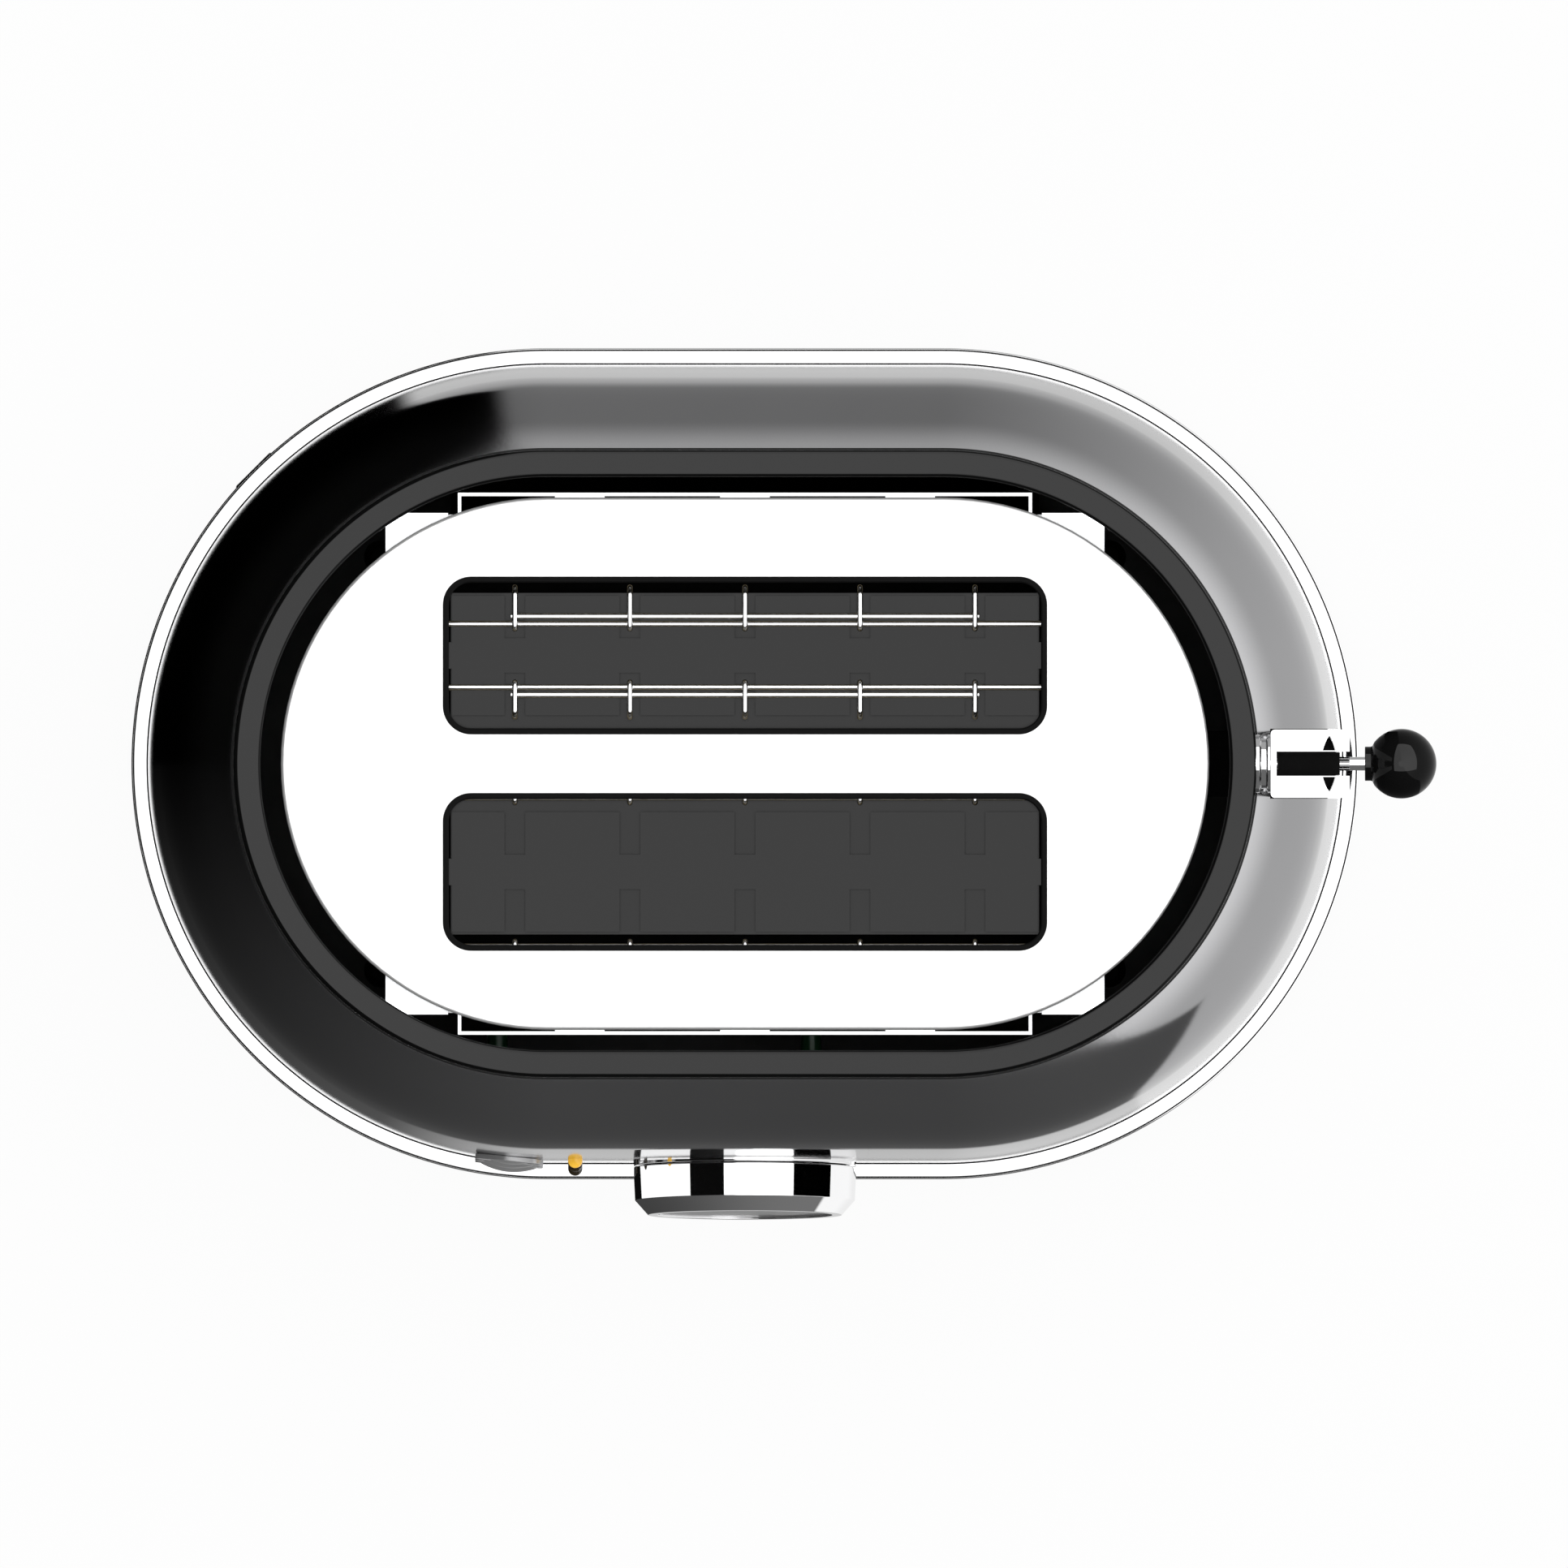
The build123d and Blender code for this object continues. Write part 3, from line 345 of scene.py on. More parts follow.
def solid(name, forms):
    """An object made of (points, faces) forms, its seams joined and its normals outwards."""
    points, faces, count = [], [], 0
    for form_points, form_faces in forms:
        flat = np.asarray(form_points, float).reshape(-1, 3)
        points.append(flat / MM_PER_M + CENTRE)
        faces += [[int(i) + count for i in face] for face in form_faces]
        count += len(flat)
    mesh = bpy.data.meshes.new(name)
    mesh.from_pydata(np.concatenate(points).tolist(), [], faces)
    made = add(name, mesh)
    tidy = bmesh.new()
    tidy.from_mesh(mesh)
    bmesh.ops.remove_doubles(tidy, verts=tidy.verts, dist=WELD)
    bmesh.ops.dissolve_degenerate(tidy, edges=tidy.edges, dist=SLIVER)
    bmesh.ops.recalc_face_normals(tidy, faces=tidy.faces)
    open_edges = sum(len(edge.link_faces) != 2 for edge in tidy.edges)
    tidy.to_mesh(mesh)
    tidy.free()
    print(name, len(mesh.polygons), "faces,", open_edges, "open edges")
    return made


def piece(name, forms, body, slot, *stands_for, look=None):
    """A solid with its finish, riding on a body in place of the nodes that it stands for."""
    made = solid(name, forms)
    made.data.shade_smooth()
    made.data.set_sharp_from_angle(angle=math.radians(SHARP))
    made.data.materials.append(finishes[look or slot])
    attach(made, body)
    if stands_for:
        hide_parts(*stands_for)
    return made


def cut(made, forms):
    """Takes forms out of a piece with a boolean, whose result becomes the piece's own mesh."""
    cutter = solid(made.name + "_cutter", forms)
    boolean = made.modifiers.new("cut", "BOOLEAN")
    boolean.operation, boolean.solver, boolean.object = "DIFFERENCE", "EXACT", cutter
    bpy.context.view_layer.update()
    done = made.evaluated_get(bpy.context.evaluated_depsgraph_get())
    made.data = bpy.data.meshes.new_from_object(done)
    made.modifiers.clear()
    made.data.set_sharp_from_angle(angle=math.radians(SHARP))
    bpy.data.objects.remove(cutter)
    print(made.name, "after the cut:", len(made.data.polygons), "faces")


# %% [markdown]
# Seen from above, shell, plinth and collar are one stadium at different distances: two half
# circles joined by straight runs. So each is a profile, drawn once as (distance, height), and
# carried round that path. A bevelled curve could do that too, but it could not leave a gap whose
# width differs from row to row, as the slot for the lever's rail needs.

# %% Profiles carried round the stadium
QUARTER_STEPS = 90
RUN_STEPS = 10


def stadium_path(first, last):
    """Columns round the stadium from one heading to another: the x turned about, and the heading.

    Where a heading passes 90 or 270 degrees a straight run follows, on which only x changes.
    """
    quarters = [q for q in (np.pi / 2, 3 * np.pi / 2, 5 * np.pi / 2) if first < q < last]
    stops = [first, *quarters, last]
    xs, headings = [], []
    for low, high in zip(stops, stops[1:]):
        x = HALF_STRAIGHT if np.cos((low + high) / 2) > 0 else -HALF_STRAIGHT
        count = QUARTER_STEPS * (2 if high - low > 2 else 1)
        xs.append(np.full(count, x))
        headings.append(np.linspace(low, high, count))
        if high != last:
            xs.append(np.linspace(x, -x, RUN_STEPS + 2)[1:-1])
            headings.append(np.full(RUN_STEPS, high))
    return np.concatenate(xs), np.concatenate(headings)


def whole_turn(distance):
    """The first and last heading of a ring with no gap, the same at any distance."""
    return 0.0, 2 * np.pi


def carried(profile, span=whole_turn):
    """Carries (distance, height) points round: x turned about + distance * heading."""
    rows = []
    for distance, height in profile:
        x, heading = stadium_path(*span(distance))
        x = x + distance * np.cos(heading)
        rows.append(np.stack([x, distance * np.sin(heading), np.full_like(x, height)], -1))
    return np.array(rows)


def ring(profile, span=whole_turn):
    """A closed profile carried round; where the span leaves a gap, the profile closes its ends."""
    points = carried(profile, span)
    rows, columns = points.shape[:2]
    faces = quads(rows, columns, close_rows=True).tolist()
    if span is not whole_turn:
        first = np.arange(rows) * columns
        faces += [first.tolist(), (first + columns - 1)[::-1].tolist()]
    return points, faces


def strip(inner, outer, low, high):
    """A profile with four corners, from one distance to another and from low to high."""
    return [(inner, low), (outer, low), (outer, high), (inner, high)]


print("a whole ring has", len(stadium_path(*whole_turn(0))[0]), "columns")

# %% [markdown]
# Turned parts are a profile of (along, radius) points spun about an axis, and bent or pressed
# edges are corners replaced by arcs. Blender's Bevel modifier rounds edges as well, but an arc
# worked out here touches both its sides exactly. A guard point close to each end of the arc keeps
# the long flat sides flat when they are shaded smooth.

# %% Rounded lines and turned parts
GUARD = 0.12


def rounded(corners, radius, steps=5):
    """A line of points with each inner corner replaced by an arc that touches both its sides.

    With u and v the directions from the corner to its neighbours and b half the angle between them,
    the arc starts radius / tan b along u, and its centre is radius / sin b along u + v.
    """
    corners = [np.array(corner, float) for corner in corners]
    line = [corners[0][None]]
    for before, corner, after in zip(corners, corners[1:], corners[2:]):
        u = (before - corner) / np.linalg.norm(before - corner)
        v = (after - corner) / np.linalg.norm(after - corner)
        half = math.acos(max(-1.0, min(1.0, float(u @ v)))) / 2
        middle = (u + v) / np.linalg.norm(u + v)
        centre = corner + middle * radius / math.sin(half)
        start = corner + u * radius / math.tan(half) - centre
        stop = corner + v * radius / math.tan(half) - centre
        turn = math.pi - 2 * half
        t = np.linspace(0, 1, steps)[:, None]
        bow = (np.sin((1 - t) * turn) * start + np.sin(t * turn) * stop) / math.sin(turn)
        bow = centre + bow
        line += [bow[:1] + u * GUARD * radius, bow, bow[-1:] + v * GUARD * radius]
    line.append(corners[-1][None])
    return np.concatenate(line)


def turned(profile, origin, axis, steps=96):
    """Turns (along, radius) points: origin + along * axis + radius * (cos a side + sin a up)."""
    axis = np.array(axis, float) / np.linalg.norm(axis)
    side = np.cross(axis, (0, 0, 1) if abs(axis[2]) < 0.9 else (1, 0, 0))
    side = side / np.linalg.norm(side)
    angle = np.linspace(0, 2 * np.pi, steps, endpoint=False)
    spoke = np.cos(angle)[:, None] * side + np.sin(angle)[:, None] * np.cross(axis, side)
    profile = np.array(profile, float)
    points = np.array(origin) + profile[:, None, :1] * axis + profile[:, None, 1:] * spoke
    return points, quads(len(profile), steps, close_columns=True)


print("a rounded corner has", len(rounded([(0, 0), (1, 0), (1, 1)], 0.2)) - 2, "points")

# %% [markdown]
# The shell is a deep-drawn steel pressing. Its wall rises from the foot with a slight belly, turns
# over a shoulder of three arcs that touch each other, and goes flat under the collar. A spline
# through a few points would be quicker to write, but reflections wobble on it; over arcs that
# share their tangents they run without a ripple. The sheet is one millimetre thick, and the slot
# for the lever's rail opens it on the right. The holes for the buttons are cut later, with the
# buttons.

# %% The drawn shell
SHELL_FOOT = PLINTH_RADIUS - 4.0
LEDGE_TOP = 22.0
SHOULDER = 176.0
COLLAR_RADIUS = 75.95
COLLAR_INNER = 69.4
FLANGE_INNER = COLLAR_INNER + 2.6
ARCS_START = COLLAR_RADIUS + 0.2
FLANGE_END = ARCS_START - 0.4
ARC_SLOPES = (84.0, 45.0, 13.0, 4.0)
LOWER_RADII = (26.9, 60.0)
ARC_STEPS, WALL_STEPS = 26, 25
SHELL_WALL = 1.0
RAIL_INNER = COLLAR_RADIUS + 3.4
RAIL_SLOT_START = RAIL_INNER - 0.2
RAIL_SLOT_HALF = 8.45


def shell_outline():
    """Distance, height and slope angle of points from the flange over the shoulder to the foot.

    On an arc of radius R between slopes a and b the distance grows by R (cos b - cos a) and the
    height falls by R (sin a - sin b). Below the arcs the wall bellies: it stands back from the foot
    by the cube of its height, so its slope at the top is three times the mean one. The crown's
    radius, the first, is the one that lands the wall on its foot.
    """
    slopes = np.radians(ARC_SLOPES)
    outward = np.cos(slopes[1:]) - np.cos(slopes[:-1])
    downward = np.sin(slopes[:-1]) - np.sin(slopes[1:])
    lean = math.tan(slopes[-1]) / 3
    radii = np.array([0.0, *LOWER_RADII])
    wall = SHOULDER - LEDGE_TOP - radii @ downward
    left = SHELL_FOOT - ARCS_START - radii @ outward - wall * lean
    radii[0] = left / (outward[0] - downward[0] * lean)
    places = [(distance, SHOULDER, math.pi / 2) for distance in (FLANGE_INNER, FLANGE_END)]
    distance, height = ARCS_START, SHOULDER
    for radius, high, low in zip(radii, slopes, slopes[1:]):
        slope = np.linspace(high, low, ARC_STEPS)[:-1]
        out = distance + radius * (np.cos(slope) - np.cos(high))
        places += zip(out, height - radius * (np.sin(high) - np.sin(slope)), slope)
        distance += radius * (math.cos(low) - math.cos(high))
        height -= radius * (math.sin(high) - math.sin(low))
    for t in np.linspace(1, 0, WALL_STEPS):
        out = SHELL_FOOT - (SHELL_FOOT - distance) * t**3
        slope = math.atan(t * t * math.tan(slopes[-1]))
        places.append((out, LEDGE_TOP + t * (height - LEDGE_TOP), slope))
    print("crown radius", round(radii[0], 2), "mm")
    return np.array(places)


def beside_rail(distance):
    """The headings that the rail's slot leaves of a ring at this distance."""
    if distance <= RAIL_SLOT_START:
        return whole_turn(distance)
    first = min(math.asin(RAIL_SLOT_HALF / distance), math.acos(RAIL_SLOT_START / distance))
    return first, 2 * np.pi - first


def drawn_shell():
    """The outline and the same line moved inwards by the sheet, joined at flange, foot and slot."""
    place = shell_outline()
    outside = place[:, :2]
    inward = np.stack([np.cos(place[:, 2]), np.sin(place[:, 2])], -1) * SHELL_WALL
    inside = outside - inward
    inside[0, 0] = FLANGE_INNER
    inside[-1, 1] = LEDGE_TOP
    points = carried(np.concatenate([outside, inside[::-1]]), beside_rail)
    rows, columns = points.shape[:2]
    faces = quads(rows, columns, close_rows=True).tolist()
    slotted = [i for i in range(len(place) - 1) if outside[i + 1, 0] > RAIL_SLOT_START]
    for i in slotted:
        across = np.array([i, i + 1, rows - 2 - i, rows - 1 - i]) * columns
        faces += [across.tolist(), (across + columns - 1)[::-1].tolist()]
    return points, faces


shell = piece("drawn_shell", [drawn_shell()], "root", "dark_plate", "outer_shell")

# %% [markdown]
# The plinth is a chrome ring with a nearly flat top, a fine groove and a bead on its edge. The
# real one is pressed from sheet; here the outside is one profile carried round, and the back of
# its lower wall is left open for the front of the crumb tray, which slides out. Thin black strips
# lie at the shell's foot and under the collar, where the real joints are dark lines. The black
# strip in the groove is painted shade: it draws the dark line of reflected shade along the edge.

# %% Plinth and tray front
PLINTH_LOW, LEDGE_LOW, CROWN = 8.0, 20.0, 25.6
RING_INNER = PLINTH_RADIUS - 1.7
LEDGE_INNER = SHELL_FOOT - 3.1
RING_LIP = SHELL_FOOT + 0.42
CROWN_FALL = 0.13
GROOVE, GROOVE_WIDTH, GROOVE_FLOOR = PLINTH_RADIUS - 0.72, 0.43, 24.9
BEAD_RADIUS, BEAD_HEIGHT = 0.29, CROWN - 0.44
FRAME_REACH = 23.95
TRAY_HALF = HALF_STRAIGHT + FRAME_REACH - 0.7
TRAY_GAP = 0.3
HAIR = 0.02
SEAL_TOP, EDGE_SHADE_TOP = 25.2, 25.4


def tray_heading(distance, gap):
    """The heading where a ring reaches the tray's end: acos of x past the straight / distance."""
    return math.acos((TRAY_HALF + gap - HALF_STRAIGHT) / distance)


def beside_tray(distance):
    """From the tray's left end round the front to its right end, a gap away from both."""
    heading = tray_heading(distance, TRAY_GAP)
    return np.pi - heading, 2 * np.pi + heading


def across_tray(distance):
    """From the tray's right end to its left end, along the back."""
    heading = tray_heading(distance, 0.0)
    return heading, np.pi - heading


crown = [(RING_LIP + t * (GROOVE - RING_LIP), CROWN - CROWN_FALL * t * t)
         for t in np.linspace(0, 1, 9)]
groove = [(GROOVE, GROOVE_FLOOR), (GROOVE + GROOVE_WIDTH, GROOVE_FLOOR)]
bead = [(PLINTH_RADIUS - BEAD_RADIUS + BEAD_RADIUS * math.sin(a),
         BEAD_HEIGHT + BEAD_RADIUS * math.cos(a)) for a in np.radians(np.linspace(0, 90, 7))]
ledge = [(PLINTH_RADIUS, LEDGE_LOW), (LEDGE_INNER, LEDGE_LOW), (LEDGE_INNER, LEDGE_TOP)]
upper = [*crown, *groove, *bead, *ledge, (RING_LIP, LEDGE_TOP)]
lower = strip(RING_INNER, PLINTH_RADIUS, PLINTH_LOW, LEDGE_LOW)
tray_wall = strip(RING_INNER, PLINTH_RADIUS, PLINTH_LOW, LEDGE_LOW - TRAY_GAP)

collar_joint = [
    (COLLAR_RADIUS + HAIR, SHOULDER), (COLLAR_RADIUS + 0.5, SHOULDER),
    (COLLAR_RADIUS + 0.5, SHOULDER + 0.08), (COLLAR_RADIUS + HAIR, SHOULDER + 0.3),
]
foot_joint = strip(SHELL_FOOT + HAIR, RING_LIP - HAIR, LEDGE_TOP, SEAL_TOP)
# Painted shade: a black strip in the groove that draws the dark line of shade along the plinth's
# edge.
painted_edge_shade = strip(GROOVE + HAIR, GROOVE + GROOVE_WIDTH - HAIR, GROOVE_FLOOR, EDGE_SHADE_TOP)
seals = [ring(line) for line in (collar_joint, foot_joint, painted_edge_shade)]
# One black piece: two dark joints and the painted shade strip in the groove.
piece("seals", seals, "root", "black_rubber")
piece("plinth", [ring(upper), ring(lower, beside_tray)], "root", "bright_chrome", "plinth_ring")
piece("tray_face", [ring(tray_wall, across_tray)], "tray", "bright_chrome", "tray_front")

# %% [markdown]
# The gland is a rubber bush in the plinth's wall at the rear left, a turned part. A neck goes in
# through the wall, and a raised rim surrounds a shallow dish outside. Its face lies almost flush,
# so that nothing shows beside the plinth from above.

# %% Gland
GLAND_HEIGHT = 13.8
GLAND_DISH, GLAND_RIM = 1.73, 1.85
GLAND_RADIUS, GLAND_NECK, GLAND_DEPTH = 5.9, 4.9, 9.0
gland_out = np.array([-math.sqrt(0.5), math.sqrt(0.5), 0.0])
gland_origin = RING_INNER * gland_out + (-HALF_STRAIGHT, 0, GLAND_HEIGHT)
gland = [
    (GLAND_DISH, 0), (GLAND_DISH, 3.2), (GLAND_RIM, 3.4), (GLAND_RIM, 5.6), (1.7, GLAND_RADIUS),
    (1.5, GLAND_RADIUS), (1.5, GLAND_NECK), (-GLAND_DEPTH, GLAND_NECK), (-GLAND_DEPTH, 0),
]
piece("gland", [turned(gland, gland_origin, gland_out, 48)], "root", "black_rubber", "cord_gland")

# %% [markdown]
# The collar is a gloss black moulding that stands on the shell, with a skirt down into the well.
# Thin bright lines along its edges show its shape, and a sharp edge would have none, so both top
# edges are rounded in nine steps.

# %% Collar
COLLAR_TOP = SHOULDER + 15.0
COLLAR_WALL = 2.2
SKIRT_LOW = SHOULDER - 4.5
skirt_inside, wall_inside = COLLAR_INNER + COLLAR_WALL, COLLAR_RADIUS - COLLAR_WALL
under_top = COLLAR_TOP - COLLAR_WALL
collar_outside = [
    (COLLAR_RADIUS, SHOULDER), (COLLAR_RADIUS, COLLAR_TOP), (COLLAR_INNER, COLLAR_TOP),
    (COLLAR_INNER, SKIRT_LOW),
]
collar_inside = [
    (skirt_inside, SKIRT_LOW), (skirt_inside, under_top), (wall_inside, under_top),
    (wall_inside, SHOULDER),
]
collar = [*rounded(collar_outside, 1.0, 9), *collar_inside]
piece("collar", [ring(collar)], "root", "gloss_black", "top_collar")

# %% [markdown]
# Each slot has a black lining that folds over the plate's edge. A bevel of the plate could not
# overhang its own edge; a small profile carried round a rounded rectangle can, with the same
# corners inside as the sheet has.

# %% Slot linings
PLATE_TOP = COLLAR_TOP - 6.0
SLOT_Y = 26.2
MOUTH_X, MOUTH_Y, MOUTH_CORNER = 72.0, 17.95, 5.7
MOUTH_STEPS = 16


def round_mouth(profile, middle_y):
    """Carries (outwards, height) points round a rounded rectangle.

    A point is its corner's centre + (corner radius + outwards) * heading.
    """
    heading = np.concatenate([
        np.radians(np.linspace(90 * q, 90 * q + 90, MOUTH_STEPS)) for q in range(4)
    ])
    side_x = np.repeat([1, -1, -1, 1], MOUTH_STEPS) * (MOUTH_X - MOUTH_CORNER)
    side_y = np.repeat([1, 1, -1, -1], MOUTH_STEPS) * (MOUTH_Y - MOUTH_CORNER) + middle_y
    rows = []
    for outwards, height in profile:
        x = side_x + (MOUTH_CORNER + outwards) * np.cos(heading)
        y = side_y + (MOUTH_CORNER + outwards) * np.sin(heading)
        rows.append(np.stack([x, y, np.full_like(heading, height)], -1))
    return np.array(rows), quads(len(profile), len(heading), True, True)


lining_low = [(-0.02, PLATE_TOP - 5), (-0.3, PLATE_TOP - 5), (-0.3, PLATE_TOP - 0.1)]
lining_top = [(0.05, PLATE_TOP + 0.12), (1.1, PLATE_TOP + 0.12), (1.18, PLATE_TOP - 0.02),
              (0.7, PLATE_TOP - 0.02), (-0.02, PLATE_TOP - 0.8)]
linings = [round_mouth([*lining_low, *lining_top], side * SLOT_Y) for side in (-1, 1)]
piece("slot_linings", linings, "root", "black_moulding", look="sooty_steel")

# %% [markdown]
# The bread guides are welded from round wire. Each upright rises from the lower bar, hooks over
# under the plate and turns down again. A bevelled curve would make wire quickly, but its rings may
# twist at tight bends; here a circle is carried along a line whose corners are rounded. All its
# bends lie in one plane, so the circle's own axes follow from that plane.

# %% Wire and bread guides
WIRE_RADIUS = 0.675
WIRE_BEND = 1.62
GUIDE_TRAVEL = 10.3
SLOT_LENGTH, UPRIGHT_INSET = 146.0, 17.3
UPRIGHTS = np.linspace(-1, 1, 5) * (SLOT_LENGTH - 2 * UPRIGHT_INSET) / 2
BAR_HEIGHTS = (SHOULDER - 8.0, SHOULDER - 120.0)
BAR_END = HALF_STRAIGHT + FRAME_REACH + 1.8
UPRIGHT_Y, BAR_Y, TIE_Y = 6.5, 7.7, 9.55
OUTER_HOOK_Y, INNER_HOOK_Y = 16.5, 14.9
TIE_END, TIE_HEIGHT = UPRIGHTS[-1] + WIRE_RADIUS + 0.3, SHOULDER - 1.08


def directions(line):
    """Unit vectors along a line of points, each from the neighbours on both sides."""
    along = np.gradient(line, axis=0)
    return along / np.linalg.norm(along, axis=1)[:, None]


def tube(line, normal, across, radius, sides):
    """Round wire: line + radius * (cos a * normal + sin a * across), with a disc at each end."""
    angle = np.linspace(0, 2 * np.pi, sides, endpoint=False)[None, :, None]
    circle = np.cos(angle) * normal[:, None] + np.sin(angle) * across[:, None]
    last = (len(line) - 1) * sides
    discs = [list(range(sides))[::-1], [last + i for i in range(sides)]]
    faces = quads(len(line), sides, close_columns=True).tolist()
    return line[:, None] + radius * circle, [*faces, *discs]


def wire(corners, across, sides=14):
    """A tube along rounded corners that lie in one plane, whose normal is the across vector."""
    bent = len(corners) > 2
    line = rounded(corners, WIRE_BEND, 6) if bent else np.array(corners, float)
    across = np.broadcast_to(np.array(across, float), line.shape)
    return tube(line, np.cross(across, directions(line)), across, WIRE_RADIUS, sides)


def guide(slot_side, face, opened):
    """Five hooked uprights, two long bars that run in the end frames, a tie bar under the hooks."""
    shift = GUIDE_TRAVEL if opened else 0.0
    hook = OUTER_HOOK_Y if face == slot_side else INNER_HOOK_Y

    def at(offset):
        return slot_side * SLOT_Y + face * (offset + shift)

    forms = []
    for x in UPRIGHTS:
        forms.append(wire([
            (x, at(UPRIGHT_Y), BAR_HEIGHTS[1] - 2), (x, at(UPRIGHT_Y), SHOULDER),
            (x, at(hook), SHOULDER), (x, at(hook), SHOULDER - 4),
        ], (1, 0, 0)))
    long_bars = [(BAR_END, BAR_Y, height) for height in BAR_HEIGHTS]
    for end, offset, height in [*long_bars, (TIE_END, TIE_Y, TIE_HEIGHT)]:
        forms.append(wire([(-end, at(offset), height), (end, at(offset), height)], (0, 0, 1)))
    return forms


for side, face, opened, place in ((1, 1, False, "rear_outer"), (1, -1, False, "rear_inner"),
                                  (-1, 1, True, "front_inner"), (-1, -1, True, "front_outer")):
    forms = guide(side, face, opened)
    piece("wires_" + place, forms, place + "_guide", "guide_wire", "guide_" + place)

# %% [markdown]
# The lift spring is a helix round the right guide rod. The real one is wound from wire, and the
# same tube makes it here. It can't follow the carriage as a rigid piece, so it stays on the fixed
# body, with a mesh of its own.

# %% Lift spring
GUIDE_ROD_X = HALF_STRAIGHT + FRAME_REACH + 12.1
SPRING_LOW, SPRING_HIGH = 14.2, 102.1
SPRING_TURNS, SPRING_STEPS, SPRING_RADIUS, SPRING_WIRE = 7, 36, 4.6, 0.6


def coil(sides=10):
    """Wire on a helix: rod + radius * (cos a, sin a), rising evenly; its normal points outwards."""
    a = np.linspace(0, 2 * np.pi * SPRING_TURNS, SPRING_TURNS * SPRING_STEPS + 1)
    out = np.stack([np.cos(a), np.sin(a), np.zeros_like(a)], -1)
    height = np.linspace(SPRING_LOW, SPRING_HIGH, len(a))
    line = SPRING_RADIUS * out + np.stack([np.full_like(a, GUIDE_ROD_X), 0 * a, height], -1)
    return tube(line, out, np.cross(directions(line), out), SPRING_WIRE, sides)


spring = piece("spring", [coil()], "root", "spring_wire", "lift_spring")
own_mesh(spring)

# %% [markdown]
# On the right the lever's rail is tied to the collar by a waisted neck, and its head carries two
# thin lips. The neck is turned. The lips are straight bars with rounded edges. The rail itself
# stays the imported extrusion, because its flat faces need nothing finer.

# %% Rail's neck and lips
RIGHT = (1, 0, 0)
NECK_HEIGHT = SHOULDER + 7.5
NECK_RADIUS, WAIST_RADIUS, NECK_END = 7.07, 6.1, 3.36
COLLAR_END = HALF_STRAIGHT + COLLAR_RADIUS
RAIL_TOP = NECK_HEIGHT + 8.25
LIP_START, LIP_END, LIP_INNER, LIP_OUTER = 137.8, 146.3, 2.95, 3.2


def extruded(outline, near, far):
    """A rounded (x, z) outline pushed along y: two copies of the line and a skin between them."""
    line = rounded([*outline, outline[0], outline[1]], 0.12, 4)[1:]
    count = len(line)
    points = np.stack([
        np.stack([line[:, 0], np.full(count, y), line[:, 1]], -1) for y in (near, far)
    ])
    ends = [list(range(count)), list(range(count, 2 * count))[::-1]]
    return points, [*quads(2, count, False, True).tolist(), *ends]


neck = [
    (-0.5, 0), (-0.5, NECK_RADIUS), (0.7, NECK_RADIUS), (1.1, WAIST_RADIUS), (2.3, WAIST_RADIUS),
    (2.7, NECK_RADIUS), (NECK_END, NECK_RADIUS), (NECK_END, 0),
]
neck_form = turned(rounded(neck, 0.1, 4), (COLLAR_END, 0, NECK_HEIGHT), RIGHT)
piece("neck", [neck_form], "root", "bright_chrome", "rail_neck")
lip = strip(LIP_START, LIP_END, RAIL_TOP - 2.2, RAIL_TOP - 0.05)
lips = [extruded(lip, LIP_INNER, LIP_OUTER), extruded(lip, -LIP_OUTER, -LIP_INNER)]
piece("rail_lips", lips, "root", "bright_chrome")

# %% [markdown]
# The lever that a hand pushes down is a chrome rod and a gloss black ball, whose flange flows into
# the sphere. Both are turned about the same level axis. A UV sphere would do for the ball, but not
# for the flange, and the studio is mirrored where one runs into the other.

# %% Rod and ball
ROD_START, ROD_HEIGHT, ROD_RADIUS = 120.15, SHOULDER - 8.0, 1.65
ROD_HEAD_RADIUS, ROD_HEAD_DEPTH = 2.65, 1.5
BALL_START = HALF_STRAIGHT + PLINTH_RADIUS - 2.15 + 3.7
BALL_REACH, BALL_RADIUS, FLANGE_RADIUS = 8.9, 8.45, 4.15
BALL_OPENING = 142
rod_end = BALL_START + 8 - ROD_START

rod = [
    (-ROD_HEAD_DEPTH, 0), (-ROD_HEAD_DEPTH, ROD_HEAD_RADIUS), (0, ROD_HEAD_RADIUS),
    (0, ROD_RADIUS), (rod_end, ROD_RADIUS), (rod_end, 0),
]
rod_form = turned(rod, (ROD_START, 0, ROD_HEIGHT), RIGHT, 48)
piece("rod", [rod_form], "carriage", "bright_chrome", "lever_rod")

flange = [(0, 0), (0, FLANGE_RADIUS), (1.45, FLANGE_RADIUS), (1.8, 4.3)]
sphere = [(BALL_REACH + BALL_RADIUS * math.cos(a), BALL_RADIUS * math.sin(a))
          for a in np.radians(np.linspace(BALL_OPENING, 0, 72))]
ball = turned([*rounded(flange, 0.15, 4), *sphere], (BALL_START, 0, ROD_HEIGHT), RIGHT, 128)
piece("ball", [ball], "carriage", "gloss_black", "lever_ball")

# %% [markdown]
# The dial is a turned cap on the front of the wall, leaning back a little more than the wall does,
# with a chamfer and a dished face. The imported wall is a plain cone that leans 1.15 degrees, and
# buttons and lamps stand square to that cone. The drawn shell bellies out from it by 0.9 mm at
# most, so the bezel is that much thicker here. It is a wedge: its back lies against the wall.

